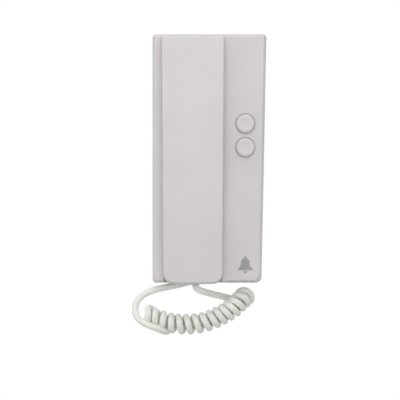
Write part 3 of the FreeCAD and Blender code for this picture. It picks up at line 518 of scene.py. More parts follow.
POINTS_PER_TURN = 14
CORD_SIDES = 18
LAST_RING_DEPTH = 2.7 * MM

# Shares of the coil's length: where its first turns end, and between which two its turns close up again.
FIRST_TURNS = 0.10
CLOSING_END, CLOSING_START = 0.74, 0.46
# The first turn's radius, as a share of the others', and the size of the slow and the quick unevenness of all.
FIRST_RADIUS = 0.78
SLOW_WOBBLE, QUICK_WOBBLE = 0.014, 0.010


def route_line(points, resolution):
    """Reads the smooth line of a NURBS route through its given points."""
    curve = bpy.data.curves.new("route", "CURVE")
    curve.dimensions = "3D"
    spline = curve.splines.new("NURBS")
    spline.points.add(len(points) - 1)
    for point, place in zip(spline.points, points):
        point.co = (*place, 1)
    spline.order_u = 3
    spline.use_endpoint_u = True
    spline.resolution_u = resolution
    obj = bpy.data.objects.new("route", curve)
    bpy.context.scene.collection.objects.link(obj)
    depsgraph = bpy.context.evaluated_depsgraph_get()
    mesh = bpy.data.meshes.new_from_object(obj.evaluated_get(depsgraph))
    line = [v.co.copy() for v in mesh.vertices]
    bpy.data.objects.remove(obj)
    bpy.data.curves.remove(curve)
    bpy.data.meshes.remove(mesh)
    return line


def lengths_along(line):
    run = [0.0]
    for a, b in zip(line, line[1:]):
        run.append(run[-1] + (b - a).length)
    return run


def point_along(line, run, distance):
    """The place and direction at a distance along a line."""
    distance = min(max(distance, 0.0), run[-1])
    index = max(i for i, r in enumerate(run[:-1]) if r <= distance)
    share = (distance - run[index]) / max(run[index + 1] - run[index], 1e-9)
    direction = (line[index + 1] - line[index]).normalized()
    return line[index].lerp(line[index + 1], share), direction


def helix_points(cord):
    """Control points of the curly part, turn by turn along the coil's axis, right-handed."""
    axis = route_line(COIL_AXIS, 24)
    run = lengths_along(axis)
    end = run[-1] - LAST_RING_DEPTH
    heading = (axis[1] - axis[0]).normalized()
    up = Vector((0, 0, 1)) - heading * heading.z
    up.normalize()
    step = math.tau / POINTS_PER_TURN
    points, distance, angle = [], 0.0, 0.0
    while distance < end:
        place, direction = point_along(axis, run, distance)
        up.rotate(heading.rotation_difference(direction))
        heading = direction
        front = heading.cross(up)
        share = distance / end
        wobble = 1 + SLOW_WOBBLE * math.sin(angle * 0.37 + 0.6) + QUICK_WOBBLE * math.sin(angle * 0.83)
        opening = smoothstep(share, 0.02, 3 * FIRST_TURNS)
        radius = cord.coil_radius * wobble * (FIRST_RADIUS + (1 - FIRST_RADIUS) * opening)
        radius /= math.cos(step / 2)
        points.append(place + radius * (math.cos(angle) * up + math.sin(angle) * front))
        stretch = smoothstep(share, 0.0, FIRST_TURNS) * smoothstep(share, CLOSING_END, CLOSING_START)
        pitch = cord.tight_pitch + (cord.loose_pitch - cord.tight_pitch) * stretch
        distance += pitch / POINTS_PER_TURN
        angle += step
    lowest = min(range(len(points) - POINTS_PER_TURN, len(points)), key=lambda i: points[i].z)
    return points[: lowest + 1]


def smoothstep(value, start, end):
    """Rises smoothly from 0 at start to 1 at end."""
    share = min(max((value - start) / (end - start), 0.0), 1.0)
    return share * share * (3 - 2 * share)


def sweep_tube(line, radius, sides, name):
    """A round tube along a line, closed at both ends, with a UV that runs along it."""
    bm = bmesh.new()
    uv = bm.loops.layers.uv.new("UVMap")
    rings = []
    tangent = (line[1] - line[0]).normalized()
    side = tangent.orthogonal().normalized()
    run = lengths_along(line)
    for i, place in enumerate(line):
        ahead = line[min(i + 1, len(line) - 1)] - line[max(i - 1, 0)]
        turned = ahead.normalized()
        side.rotate(tangent.rotation_difference(turned))
        side = (side - turned * side.dot(turned)).normalized()
        tangent = turned
        place_ring = Matrix.Translation(place) @ frame_matrix(side, turned.cross(side), turned)
        ring = bmesh.ops.create_circle(bm, cap_ends=False, segments=sides, radius=radius, matrix=place_ring)
        rings.append(ring["verts"])
    for i, (ring, after) in enumerate(zip(rings, rings[1:])):
        for k in range(sides):
            next_k = (k + 1) % sides
            face = bm.faces.new((ring[k], ring[next_k], after[next_k], after[k]))
            corners = ((k, i), (k + 1, i), (k + 1, i + 1), (k, i + 1))
            for loop, (around, along) in zip(face.loops, corners):
                loop[uv].uv = (around / sides, run[along] / run[-1])
    bm.faces.new(list(reversed(rings[0])))
    bm.faces.new(rings[-1])
    bmesh.ops.recalc_face_normals(bm, faces=bm.faces)
    mesh = bpy.data.meshes.new(name)
    bm.to_mesh(mesh)
    bm.free()
    smooth(mesh, math.radians(60))
    return mesh


def frame_matrix(x_axis, y_axis, z_axis):
    return Matrix((x_axis, y_axis, z_axis)).transposed().to_4x4()


def cord_material():
    """A soft jacket that light enters a little way."""
    finish = bpy.context.scene.telephone_finish
    return moulded("cord_jacket", finish.cord_colour, 0.38, drift=0.045, grain=1500.0, height=0.006 * MM,
                   soil=0.05, coat=0.1, soft=0.6)


class TELEPHONE_OT_cord(bpy.types.Operator):
    """Makes the curly cord from the base to the handset"""

    bl_idname = "telephone.cord"
    bl_label = "Curly cord"

    def execute(self, context):
        cord = context.scene.telephone_cord
        helix = helix_points(cord)
        points = [*BASE_TAIL, *helix, *HANDSET_TAIL]
        line = route_line(points, 4)
        obj = object_of(sweep_tube(line, cord.thickness / 2, CORD_SIDES, "curly_cord"))
        obj.data.materials.append(cord_material())
        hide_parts("cord_base_tail", "cord_coil", "cord_handset_tail")
        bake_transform(obj)
        return {"FINISHED"}


# ---- Base cover ----


def handset_half(z):
    """Half the handset's width at a level."""
    share = (z - HANDSET_BOTTOM) / (HANDSET_TOP - HANDSET_BOTTOM)
    return HANDSET_BOTTOM_HALF + (HANDSET_TOP_HALF - HANDSET_BOTTOM_HALF) * share


def cover_section(z, right):
    """The cover's section at one end, round from its left wall edge: a plain wall, the bed, then the panel."""
    bed = handset_half(z) - BED_TUCK
    return [
        (BASE_LEFT, 0.0),
        (BASE_LEFT + BASE_DRAFT, BASE_DEPTH),
        (HANDSET_MIDDLE - bed, BASE_DEPTH),
        (HANDSET_MIDDLE - bed, BED_DEPTH),
        (HANDSET_MIDDLE + bed, BED_DEPTH),
        (HANDSET_MIDDLE + bed, BASE_DEPTH),
        (right - BASE_DRAFT, BASE_DEPTH),
        (right, 0.0),
    ]


def cover_block(shape):
    """The cover as a solid block with its bed, corners and rounded front edges."""
    bm = bmesh.new()
    top, slope = BASE_HALF_HEIGHT, BASE_DRAFT / BASE_DEPTH
    low = cover_section(-top, BASE_RIGHT_TOP - BASE_RIGHT_TAPER)
    high = cover_section(top, BASE_RIGHT_TOP)
    end = bm.faces.new([bm.verts.new(at(x, depth, -top + depth * slope)) for x, depth in low])
    first = list(end.verts)
    for vert in extruded(bm, end):
        index = min(range(len(first)), key=lambda i: (first[i].co - vert.co).length)
        x, depth = high[index]
        vert.co = at(x, depth, top - depth * slope)
    bmesh.ops.recalc_face_normals(bm, faces=bm.faces)

    def is_corner(a, b):
        sides = (BASE_LEFT, BASE_RIGHT_TOP, BASE_RIGHT_TOP - BASE_RIGHT_TAPER)
        outer = min(abs(a.co.x - side) for side in sides) < 3 * MM
        return outer and abs(a.co.z - b.co.z) < 3 * MM and abs(depth_of(a) - depth_of(b)) > BASE_DEPTH / 2

    def is_big(a, b):
        return is_corner(a, b) and a.co.x > 0 and a.co.z < 0

    bevel(bm, edges_at(bm, is_big), shape.base_big_corner, 9)
    bevel(bm, edges_at(bm, lambda a, b: is_corner(a, b) and not (a.co.x > 20 * MM and a.co.z < 0)),
          shape.base_corner, 7)

    def in_front(a, b):
        return depth_of(a) > BASE_DEPTH - MM and depth_of(b) > BASE_DEPTH - MM

    def beside_bed(a, b):
        return in_front(a, b) and all(BASE_LEFT + 8 * MM < v.co.x < 15 * MM for v in (a, b))

    def bed_mouth(a, b):
        ends = abs(abs(a.co.z) - top) < 3 * MM and abs(abs(b.co.z) - top) < 3 * MM and a.co.z * b.co.z > 0
        inside = all(BASE_LEFT + 5 * MM < v.co.x < 20 * MM for v in (a, b))
        return ends and inside and min(depth_of(a), depth_of(b)) > BED_DEPTH - MM

    bevel(bm, edges_at(bm, lambda a, b: in_front(a, b) and not beside_bed(a, b)), shape.base_edge, 6)
    bevel(bm, edges_at(bm, lambda a, b: beside_bed(a, b) or bed_mouth(a, b)), BED_EDGE, 4)
    return bm


def cover_recesses():
    """What is sunk into the bed: two round recesses for the cups and the cord's gully."""
    bm = bmesh.new()
    for level, radius in ((EAR_LEVEL + MM, EAR_CUP + 3.5 * MM), (MOUTH_LEVEL + 0.8 * MM, MOUTH_CUP + 2 * MM)):
        fillet = 1.2 * MM
        profile = [(0, RECESS_DEPTH)]
        profile += arc(radius - fillet, RECESS_DEPTH + fillet, fillet, -90, 0)
        profile += [(radius, BED_DEPTH + 2 * MM), (0, BED_DEPTH + 2 * MM)]
        turn_into(bm, profile, at(HANDSET_MIDDLE, 0, level), steps=72)
    half = HANDSET_BOTTOM_HALF
    box_into(bm, (HANDSET_MIDDLE - half, GULLY_DEPTH, -BASE_HALF_HEIGHT - 7 * MM),
             (HANDSET_MIDDLE + half, BED_DEPTH + 2 * MM, GULLY_TOP))
    return bm


def cover_openings():
    """Everything that goes through the cover's wall."""
    bm = bmesh.new()
    for level in BUTTON_LEVELS.values():
        flare = 0.35 * MM
        turn_into(bm, [(0, BASE_DEPTH - 6 * MM), (BUTTON_HOLE, BASE_DEPTH - 6 * MM),
                       (BUTTON_HOLE, BASE_DEPTH - flare), (BUTTON_HOLE + flare * 1.6, BASE_DEPTH + flare * 0.6),
                       (0, BASE_DEPTH + flare * 0.6)], at(BUTTON_COLUMN, 0, level), steps=80)
    box_into(bm, (HANDSET_MIDDLE - 4 * MM, BED_DEPTH - 5 * MM, LEVER_SLOT[0]),
             (HANDSET_MIDDLE + 4 * MM, BED_DEPTH + 2 * MM, LEVER_SLOT[1]))
    for side in (-1, 1):
        turn_into(bm, rod(1.7 * MM, BED_DEPTH - 5 * MM, BED_DEPTH + 2 * MM),
                  at(HANDSET_MIDDLE + side * COVER_SCREW_SIDE, 0, COVER_SCREW_LEVEL), steps=24)
    turn_into(bm, rod(3.4 * MM, -2 * MM, 6 * MM),
              at(HANDSET_MIDDLE + HANDSET_BOTTOM_HALF, RELIEF_DEPTH, RELIEF_LEVEL), facing="across", steps=32)
    for i in range(5):
        left = (18 + 4 * i) * MM
        box_into(bm, (left, 12 * MM, -BASE_HALF_HEIGHT - 3 * MM),
                 (left + 1.6 * MM, 24 * MM, -BASE_HALF_HEIGHT + 6 * MM))
    return bm


def lug_block(back, front, gap):
    """The slanting lug between two depths, grown by gap above, below and at both sides."""
    bm = bmesh.new()
    half = LUG_WIDTH / 2 + gap
    low = [LUG_LEVEL + LUG_SLOPE * (depth - BED_DEPTH) - gap for depth in (back, front)]
    high = [level + LUG_THICKNESS + 2 * gap for level in low]
    sides = []
    for x in (HANDSET_MIDDLE - half, HANDSET_MIDDLE + half):
        sides.append([bm.verts.new(at(x, depth, z)) for depth, z in
                      ((back, low[0]), (front, low[1]), (front, high[1]), (back, high[0]))])
    bm.faces.new(sides[0])
    bm.faces.new(reversed(sides[1]))
    for i in range(4):
        after = (i + 1) % 4
        bm.faces.new((sides[0][after], sides[0][i], sides[1][i], sides[1][after]))
    return bm


class TELEPHONE_OT_base_cover(bpy.types.Operator):
    """Makes the base's cover with its handset bed, button holes and hanging lug"""

    bl_idname = "telephone.base_cover"
    bl_label = "Base cover"

    def execute(self, context):
        shape = context.scene.telephone_shape
        obj = object_of(mesh_of(cover_block(shape), "base_cover_shell"))
        combine(obj, cover_recesses(), "DIFFERENCE")
        hollow_out(obj, shape.wall, 0.0)
        combine(obj, cover_openings(), "DIFFERENCE")
        lug = lug_block(BED_DEPTH - MM, LUG_TIP, 0)
        bevel(lug, edges_at(lug, lambda a, b: min(depth_of(a), depth_of(b)) > LUG_TIP - MM), 0.8 * MM, 4)
        combine(obj, lug, "UNION")
        finish_shell(obj, "base", "base_cover")
        return {"FINISHED"}


def hollow_out(obj, wall, rim):
    """Opens the moulding where it is flat at the depth rim, and gives the rest an inner wall."""
    bm = bmesh.new()
    bm.from_mesh(obj.data)
    mouth = [face for face in bm.faces if all(abs(depth_of(v) - rim) < 1e-5 for v in face.verts)]
    bmesh.ops.delete(bm, geom=mouth, context="FACES")
    bm.to_mesh(obj.data)
    bm.free()
    modifier = obj.modifiers.new("wall", "SOLIDIFY")
    modifier.thickness = wall
    modifier.offset = -1
    modifier.use_even_offset = True
    modifier.use_quality_normals = True
    applied(obj)
    for vert in obj.data.vertices:
        if abs(depth_of(vert) - rim) < RIM_SLACK:
            vert.co.y = -rim
    return obj


# ---- Handset ----

PARTING_GAP = 0.1 * MM
HANDSET_DRAFT = 0.25 * MM
HANDSET_END_DRAFT = 1.1 * MM
BELLY = 0.9 * MM


def front_face(x, z, crown):
    """The depth of the handset's bowed and crowned face."""
    middle, half = (HANDSET_TOP + HANDSET_BOTTOM) / 2, (HANDSET_TOP - HANDSET_BOTTOM) / 2
    along = (z - middle) / half
    across = (x - HANDSET_MIDDLE) / HANDSET_TOP_HALF
    return HANDSET_FRONT - HANDSET_BOW * along**2 - crown * across**2


def back_face(x, z, crown):
    """The depth of the handset's back, drawn in at the grip."""
    grip = smoothstep(z, GRIP_TOP + 12 * MM, GRIP_TOP) * smoothstep(z, GRIP_BOTTOM - 12 * MM, GRIP_BOTTOM)
    return HANDSET_BACK + (GRIP_BACK - HANDSET_BACK) * grip


def half_shell(shape, rim, flat, face_at, levels, inset=0.0):
    """A tapering, round-cornered block from the parting rim to a face, bent to where face_at puts it."""
    bm = bmesh.new()
    top, bottom = HANDSET_TOP, HANDSET_BOTTOM + BELLY
    low_half, high_half = handset_half(bottom) - inset, handset_half(top) - inset
    corners = [(-low_half, bottom), (low_half, bottom), (high_half, top), (-high_half, top)]
    end = bm.faces.new([bm.verts.new(at(HANDSET_MIDDLE + x, rim, z)) for x, z in corners])
    for vert in extruded(bm, end):
        side = math.copysign(HANDSET_DRAFT, vert.co.x - HANDSET_MIDDLE)
        end_side = math.copysign(HANDSET_END_DRAFT, vert.co.z)
        vert.co = at(vert.co.x - side, flat, vert.co.z - end_side)

    def runs_deep(a, b):
        return abs(depth_of(a) - depth_of(b)) > 5 * MM

    bevel(bm, edges_at(bm, lambda a, b: runs_deep(a, b) and a.co.z < 0), shape.handset_low_corner, 12)
    bevel(bm, edges_at(bm, lambda a, b: runs_deep(a, b) and a.co.z > 0), shape.handset_top_corner, 6)
    bevel(bm, edges_at(bm, lambda a, b: abs(depth_of(a) - flat) < 1e-6 and abs(depth_of(b) - flat) < 1e-6),
          shape.handset_edge, 6)
    for level in levels:
        cut_across(bm, (0, 0, level), (0, 0, 1))
    for i in range(1, 12):
        x = HANDSET_MIDDLE + HANDSET_BOTTOM_HALF * 0.86 * (i / 6 - 1)
        cut_across(bm, (x, 0, 0), (1, 0, 0))
    for vert in bm.verts:
        share = (depth_of(vert) - rim) / (flat - rim)
        face = face_at(vert.co.x, vert.co.z, shape.crown)
        vert.co.y = -(rim + (face - rim) * share)
        low_end = smoothstep(vert.co.z, HANDSET_BOTTOM + 30 * MM, HANDSET_BOTTOM)
        across = (vert.co.x - HANDSET_MIDDLE) / HANDSET_BOTTOM_HALF
        vert.co.z -= BELLY * low_end * max(1 - across**2, 0)
    return bm


def even_levels(low, high, count):
    return [low + (high - low) * i / count for i in range(1, count)]


def cord_notch():
    """Half of the round hole for the cord in the handset's lower end."""
    bm = bmesh.new()
    turn_into(bm, rod(3.5 * MM, HANDSET_BOTTOM - 3 * MM, HANDSET_BOTTOM + 6 * MM),
              at(CORD_LEAVES_HANDSET, PARTING, 0), facing="up", steps=32)
    return bm


class TELEPHONE_OT_handset(bpy.types.Operator):
    """Makes the handset's bowed front shell and its rear shell with ear and mouth cups"""

    bl_idname = "telephone.handset"
    bl_label = "Handset"

    def execute(self, context):
        shape = context.scene.telephone_shape
        self.make_front(shape)
        self.make_rear(shape)
        return {"FINISHED"}

    def make_front(self, shape):
        rim = PARTING + PARTING_GAP
        levels = even_levels(HANDSET_BOTTOM + 9 * MM, HANDSET_TOP - 3 * MM, 40)
        block = half_shell(shape, rim, HANDSET_FRONT, front_face, levels)
        obj = object_of(mesh_of(block, "handset_front_cover"))
        hollow_out(obj, shape.wall, rim)
        combine(obj, cord_notch(), "DIFFERENCE")
        posts = bmesh.new()
        for level in SHELL_SCREWS:
            turn_into(posts, rod(3.2 * MM, GRIP_BACK + 3.5 * MM, HANDSET_FRONT - 1.2 * MM),
                      at(HANDSET_MIDDLE, 0, level), steps=24)
        combine(obj, posts, "UNION")
        finish_shell(obj, "handset", "handset_front_shell")

    def make_rear(self, shape):
        rim = PARTING - PARTING_GAP
        levels = even_levels(HANDSET_BOTTOM + 9 * MM, HANDSET_TOP - 3 * MM, 30)
        levels += even_levels(GRIP_TOP - 1 * MM, GRIP_TOP + 13 * MM, 11)
        levels += even_levels(GRIP_BOTTOM - 13 * MM, GRIP_BOTTOM + 1 * MM, 11)
        block = half_shell(shape, rim, HANDSET_BACK, back_face, sorted(levels), REAR_INSET)
        obj = object_of(mesh_of(block, "handset_rear_cover"))
        combine(obj, self.cups(), "UNION")
        hollow_out(obj, shape.wall, rim)
        combine(obj, self.rear_openings(), "DIFFERENCE")
        combine(obj, lug_block(HANDSET_BACK - MM, HANDSET_BACK + 4 * MM, 0.5 * MM), "DIFFERENCE")
        combine(obj, cord_notch(), "DIFFERENCE")
        finish_shell(obj, "handset", "handset_rear_shell")

    def cups(self):
        bm = bmesh.new()
        for level, radius in ((EAR_LEVEL, EAR_CUP), (MOUTH_LEVEL, MOUTH_CUP)):
            fillet, dish = 1.4 * MM, 0.9 * MM
            profile = [(0, CUP_BACK + dish), (radius * 0.35, CUP_BACK + dish * 0.8),
                       (radius * 0.65, CUP_BACK + dish * 0.3), (radius - 2.4 * fillet, CUP_BACK)]
            profile += arc(radius - fillet, CUP_BACK + fillet, fillet, -90, 0)
            profile += [(radius, HANDSET_BACK + MM), (0, HANDSET_BACK + MM)]
            turn_into(bm, profile, at(HANDSET_MIDDLE, 0, level), steps=80)
        return bm

    def rear_openings(self):
        bm = bmesh.new()
        holes = [(0.0, 0.0, EAR_LEVEL, 1.0)]
        for ring, count, start, level in ((4.0, 6, 0.0, EAR_LEVEL), (8.0, 12, 0.0, EAR_LEVEL),
                                          (2.4, 3, math.pi / 2, MOUTH_LEVEL)):
            for i in range(count):
                angle = math.tau * i / count + start
                holes.append((ring * math.cos(angle), ring * math.sin(angle), level, 0.9))
        for x, z, level, radius in holes:
            turn_into(bm, rod(radius * MM, CUP_BACK - 2 * MM, CUP_BACK + 4.5 * MM),
                      at(HANDSET_MIDDLE + x * MM, 0, level + z * MM), steps=16)
        for level in SHELL_SCREWS:
            turn_into(bm, rod(1.6 * MM, GRIP_BACK - 2 * MM, GRIP_BACK + 5 * MM), at(HANDSET_MIDDLE, 0, level),
                      steps=24)
        return bm


# ---- Buttons, symbol and seals ----

CAP_RADIUS = 7.4 * MM
SKIRT_RADIUS = 8.0 * MM
STEM_RADIUS = 2.4 * MM
FLANGE_RADIUS, FLANGE_THICKNESS = 9.1 * MM, 1.7 * MM


class TELEPHONE_OT_buttons(bpy.types.Operator):
    """Makes the two round caps, crowned with a shallow finger dish"""

    bl_idname = "telephone.buttons"
    bl_label = "Buttons"

    def execute(self, context):
        under = BASE_DEPTH - 2.5 * MM
        for name, level in BUTTON_LEVELS.items():
            bm = bmesh.new()
            rim, dish = 1.5 * MM, 0.55 * MM
            shoulder = BASE_DEPTH - 0.45 * MM
            behind = under - FLANGE_THICKNESS
            profile = [(0, BUTTON_STEM_END), (STEM_RADIUS, BUTTON_STEM_END), (STEM_RADIUS, behind),
                       (FLANGE_RADIUS, behind), (FLANGE_RADIUS, under), (SKIRT_RADIUS, under),
                       (SKIRT_RADIUS, shoulder - 0.15 * MM), (SKIRT_RADIUS - 0.15 * MM, shoulder),
                       (CAP_RADIUS, shoulder)]
            profile += arc(CAP_RADIUS - rim, BUTTON_TOP - rim, rim, 0, 68, 8)
            inner = CAP_RADIUS - 2.2 * MM
            for i in range(9):
                share = 1 - i / 8
                fall = dish * (1 - share**2) ** 1.2
                profile.append((inner * share, BUTTON_TOP - 0.02 * MM - fall))
            turn_into(bm, profile, at(BUTTON_COLUMN, 0, level), steps=96)
            obj = weight_normals(object_of(mesh_of(bm, f"{name}_button_cap")))
            dress(obj, button_material(), f"button_{name}", [f"button_cap_{name}"])
        return {"FINISHED"}


SYMBOL_CENTRE = (29.5 * MM, -88.0 * MM)
SYMBOL_SIZE = 13.4 * MM
INK = 0.06 * MM


class TELEPHONE_OT_symbol(bpy.types.Operator):
    """Prints a plain bell, the usual sign for a door call, on the panel"""

    bl_idname = "telephone.symbol"
    bl_label = "Bell symbol"

    def execute(self, context):
        bm = bmesh.new()
        for outline in (self.bell(), self.clapper(), self.crown()):
            face = bm.faces.new([bm.verts.new(self.on_panel(x, z)) for x, z in outline])
            bmesh.ops.translate(bm, vec=(0, -INK, 0), verts=extruded(bm, face))
        obj = object_of(mesh_of(bm, "bell_symbol"))
        colour = context.scene.telephone_finish.symbol_colour
        ink = moulded("panel_ink", colour, 0.55, drift=0.12, height=0.004 * MM, soil=0.0)
        dress(obj, ink, "base")
        return {"FINISHED"}

    def on_panel(self, x, z):
        half = SYMBOL_SIZE / 2
        return at(SYMBOL_CENTRE[0] + x * half, BASE_DEPTH - 0.02 * MM, SYMBOL_CENTRE[1] + z * half)

    def bell(self):
        """The bell's outline, in half sizes: a dome, a waist that flares and a straight lip."""
        side = arc(0, 0.32, 0.52, 90, 0, 14)
        for i in range(1, 9):
            share = i / 8
            side.append((0.52 + 0.36 * share**2.4, 0.32 - 0.80 * share))
        side += [(0.94, -0.56), (0.94, -0.66)]
        return side + [(-x, z) for x, z in reversed(side[1:])]

    def clapper(self):
        return [(0.26 * math.cos(a), -0.76 + 0.24 * math.sin(a)) for a in
                (math.radians(-180 * i / 16) for i in range(17))]

    def crown(self):
        return arc(0, 0.96, 0.13, 0, 360, 20)[:-1]


class TELEPHONE_OT_seals(bpy.types.Operator):
    """Makes the soft sleeves where the cord enters the base and the handset"""

    bl_idname = "telephone.seals"
    bl_label = "Cord sleeves"

    def execute(self, context):
        left = HANDSET_MIDDLE + HANDSET_BOTTOM_HALF
        bm = bmesh.new()
        neck, flange, step = 3.35 * MM, 3.85 * MM, 0.85 * MM
        profile = [(0, -3.3 * MM), (2.9 * MM, -3.3 * MM), (3.0 * MM, -3.2 * MM)]
        for i in range(3):
            start = -2.7 * MM + i * step
            profile += [(3.1 * MM, start), (2.9 * MM, start + 0.2 * MM), (2.92 * MM, start + 0.4 * MM),
                        (3.15 * MM, start + 0.6 * MM)]
        profile += [(neck, 0), (neck, 3 * MM), (flange, 3 * MM), (flange, 4.2 * MM), (0, 4.2 * MM)]
        turn_into(bm, profile, at(left, RELIEF_DEPTH, RELIEF_LEVEL), facing="across", steps=40)
        sleeve = object_of(mesh_of(bm, "base_cord_sleeve"))
        dress(sleeve, soft_material(), "base", ["base_cord_relief"])
        bm = bmesh.new()
        low = HANDSET_BOTTOM - 0.8 * MM
        inner = HANDSET_BOTTOM + 3.3 * MM
        profile = [(0, low), (2.85 * MM, low)] + arc(3.0 * MM, low + 0.4 * MM, 0.4 * MM, -90, 0)
        profile += [(3.4 * MM, inner), (4.6 * MM, inner), (4.6 * MM, inner + 1.5 * MM), (0, inner + 1.5 * MM)]
        turn_into(bm, profile, at(CORD_LEAVES_HANDSET, PARTING, 0), facing="up", steps=40)
        grommet = object_of(mesh_of(bm, "handset_cord_sleeve"))
        dress(grommet, soft_material(), "handset", ["handset_cord_grommet"])
        return {"FINISHED"}


# ---- Pieces that keep the frame's own shape ----


def board_material():
    """Green lacquer over copper tracks."""
    material, tree, shader = new_material("board_lacquer")
    place = tree.nodes.new("ShaderNodeTexCoord")
    tracks = tree.nodes.new("ShaderNodeTexVoronoi")
    tracks.distance = "MANHATTAN"
    tracks.feature = "F1"
    tracks.inputs["Scale"].default_value = 260.0
    tree.links.new(place.outputs["Object"], tracks.inputs["Vector"])
    edge = spread(tree, tracks.outputs["Distance"], 0.42, 0.46)
    tint = mix_colour(tree, "MIX", edge, (0.018, 0.16, 0.06, 1), (0.06, 0.30, 0.12, 1))
    feed(tree, shader.inputs["Base Color"], tint)
    shader.inputs["Roughness"].default_value = 0.3
    shader.inputs["Coat Weight"].default_value = 0.4
    return material


def slot_materials():
    """The finish of every frame node that stays visible, by material slot."""
    return {
        "plate_grey": moulded("plate_plastic", (0.56, 0.56, 0.55), 0.6, drift=0.06, grain=1200.0,
                              height=0.02 * MM, soil=0.10),
        "lever_grey": moulded("lever_acetal", (0.50, 0.50, 0.49), 0.4, drift=0.04),
        "board_green": board_material(),
        "component_black": moulded("component_resin", (0.022, 0.022, 0.024), 0.45, drift=0.15, soil=0.05),
        "terminal_green": moulded("terminal_nylon", (0.05, 0.26, 0.12), 0.5, drift=0.08),
        "foam_black": moulded("seal_foam", (0.03, 0.03, 0.032), 0.85, drift=0.2, grain=1400.0, height=0.08 * MM),
        "screw_steel": metal("screw_zinc", (0.62, 0.62, 0.63), 0.34),
        "spring_steel": spring_wire(),
        "weight_steel": metal("weight_bar", (0.40, 0.40, 0.41), 0.5, 300.0),
        "capsule_alloy": metal("capsule_can", (0.72, 0.72, 0.73), 0.36),
    }


class TELEPHONE_OT_works(bpy.types.Operator):
    """Gives the plate, the board, the lever, the screws and all inner pieces their finishes"""

    bl_idname = "telephone.works"
    bl_label = "Works"

    def execute(self, context):
        finishes = slot_materials()
        slots = {part["node"]: part["material_slot"] for part in frame["record"]["subparts"]}
        for name, node in frame["nodes"].items():
            if node.hide_render:
                continue
            node.data.materials.clear()
            node.data.materials.append(finishes[slots[name]])
        return {"FINISHED"}


class TELEPHONE_OT_springs(bpy.types.Operator):
    """Makes the two button springs as copies of the frame's own springs"""

    bl_idname = "telephone.springs"
    bl_label = "Button springs"

    def execute(self, context):
        for level in BUTTON_LEVELS:
            name = f"button_spring_{level}"
            bm = bmesh.new()
            bm.from_mesh(frame["nodes"][name].data)
            spring = object_of(mesh_of(bm, f"{level}_button_spring"))
            dress(spring, spring_wire(), "base", [name])
            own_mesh(spring)
        return {"FINISHED"}


# ---- Stage ----

VIEW_CENTRE = (-7.88 * MM, -34.4 * MM)
VIEW_WIDTH = 331.6 * MM
SENSOR = 36.0
FLOOR_LEVEL = -0.42
FLOOR_GLOW = 0.85
STAGE_SPAN = 6.0
LAMPS = {  # place, size and colour
    "front": ((0.3, -2.6, 0.1), 2.4, (0.99, 1, 0.98)),
    "top": ((-0.05, -0.42, 0.75), 0.5, (1, 0.8, 0.87)),
    "left": ((-1.7, -0.65, 0.25), 0.9, (1, 0.94, 0.97)),
}


def seen_directly(tree):
    """1 to the camera and in reflections, 0 for all other light."""
    light_path = tree.nodes.new("ShaderNodeLightPath")
    return math_node(tree, "MAXIMUM", light_path.outputs["Is Camera Ray"], light_path.outputs["Is Glossy Ray"])


def stage_material():
    """Mostly white to the camera and in reflections, pale grey for all other light."""
    material, tree, shader = new_material("stage_white")
    shader.inputs["Base Color"].default_value = (0.7, 0.7, 0.7, 1)
    shader.inputs["Roughness"].default_value = 0.9
    glow = tree.nodes.new("ShaderNodeEmission")
    glow.inputs["Color"].default_value = (1, 1, 1, 1)
    glow.inputs["Strength"].default_value = 1.0
    mix = tree.nodes.new("ShaderNodeMixShader")
    share = math_node(tree, "MULTIPLY", seen_directly(tree), FLOOR_GLOW)
    tree.links.new(share, mix.inputs[0])
    tree.links.new(shader.outputs["BSDF"], mix.inputs[1])
    tree.links.new(glow.outputs["Emission"], mix.inputs[2])
    tree.links.new(mix.outputs["Shader"], tree.nodes["Material Output"].inputs["Surface"])
    return material


def add_lamp(name, place, size, power, colour):
    """A round soft lamp that points at the origin."""
    lamp = bpy.data.lights.new(name, "AREA")
    lamp.shape = "DISK"
    lamp.size = size
    lamp.energy = power
    lamp.color = colour
    obj = bpy.data.objects.new(name, lamp)
    obj.location = place
    obj.rotation_euler = (-Vector(place)).to_track_quat("-Z", "Y").to_euler()
    bpy.context.scene.collection.objects.link(obj)


def make_world(strength):
    world = bpy.data.worlds.new("studio")
    bpy.context.scene.world = world
    world.use_nodes = True
    tree = world.node_tree
    back = tree.nodes["Background"]
    back.inputs["Color"].default_value = (1.0, 1.0, 1.0, 1)
    level = math_node(tree, "MULTIPLY_ADD", seen_directly(tree), 1.0 - strength, strength)
    tree.links.new(level, back.inputs["Strength"])


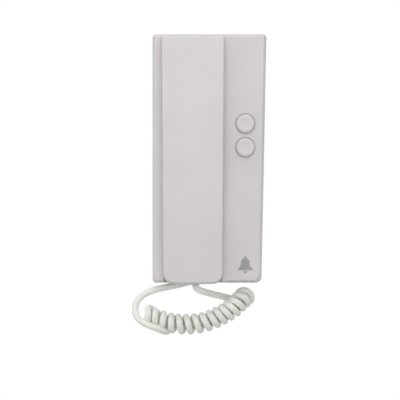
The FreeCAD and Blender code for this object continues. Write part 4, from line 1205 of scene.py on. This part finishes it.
class TELEPHONE_OT_stage(bpy.types.Operator):
    """Sets the camera, the lamps, the light from all round and the pale floor"""

    bl_idname = "telephone.stage"
    bl_label = "Stage"

    def execute(self, context):
        stage = context.scene.telephone_stage
        camera = bpy.data.cameras.new("camera")
        camera.sensor_width = SENSOR
        camera.lens = SENSOR * stage.camera_distance / VIEW_WIDTH
        camera.clip_end = 50.0
        obj = bpy.data.objects.new("camera", camera)
        obj.location = (VIEW_CENTRE[0], -stage.camera_distance, VIEW_CENTRE[1])
        obj.rotation_euler = (math.radians(90), 0, 0)
        context.scene.collection.objects.link(obj)
        context.scene.camera = obj
        context.scene.view_settings.view_transform = "Standard"
        for name, (place, size, colour) in LAMPS.items():
            add_lamp(name, place, size, getattr(stage, f"{name}_power"), colour)
        make_world(stage.world_strength)
        self.make_ground()
        return {"FINISHED"}

    def make_ground(self):
        bm = bmesh.new()
        bmesh.ops.create_grid(bm, x_segments=1, y_segments=1, size=STAGE_SPAN / 2,
                              matrix=Matrix.Translation((0, 0, FLOOR_LEVEL)))
        floor = object_of(mesh_of(bm, "floor"))
        floor.data.materials.append(stage_material())


# ---- Panel and registration ----


class TELEPHONE_PT_panel(bpy.types.Panel):
    """Settings and steps of the wall telephone"""

    bl_label = "Wall Telephone"
    bl_idname = "TELEPHONE_PT_panel"
    bl_space_type = "VIEW_3D"
    bl_region_type = "UI"
    bl_category = "Telephone"

    def draw(self, context):
        layout = self.layout
        for settings in (context.scene.telephone_finish, context.scene.telephone_shape,
                         context.scene.telephone_cord, context.scene.telephone_stage):
            box = layout.box()
            for name in settings.bl_rna.properties.keys():
                if name not in {"rna_type", "name"}:
                    box.prop(settings, name)
        for operator in STEPS:
            layout.operator(operator.bl_idname)


SETTINGS = {
    "telephone_finish": TelephoneFinish,
    "telephone_shape": TelephoneShape,
    "telephone_cord": TelephoneCord,
    "telephone_stage": TelephoneStage,
}
STEPS = (TELEPHONE_OT_stage, TELEPHONE_OT_cord, TELEPHONE_OT_base_cover, TELEPHONE_OT_handset,
         TELEPHONE_OT_buttons, TELEPHONE_OT_symbol, TELEPHONE_OT_seals, TELEPHONE_OT_springs, TELEPHONE_OT_works)


def register():
    for cls in (*SETTINGS.values(), *STEPS, TELEPHONE_PT_panel):
        bpy.utils.register_class(cls)
    for name, cls in SETTINGS.items():
        setattr(bpy.types.Scene, name, bpy.props.PointerProperty(type=cls))


def unregister():
    for name in SETTINGS:
        delattr(bpy.types.Scene, name)
    for cls in reversed((*SETTINGS.values(), *STEPS, TELEPHONE_PT_panel)):
        bpy.utils.unregister_class(cls)


def main():
    register()
    bpy.ops.telephone.stage()
    bpy.ops.telephone.cord()
    bpy.ops.telephone.base_cover()
    bpy.ops.telephone.handset()
    bpy.ops.telephone.buttons()
    bpy.ops.telephone.symbol()
    bpy.ops.telephone.seals()
    bpy.ops.telephone.springs()
    bpy.ops.telephone.works()


if __name__ == "__main__":
    main()
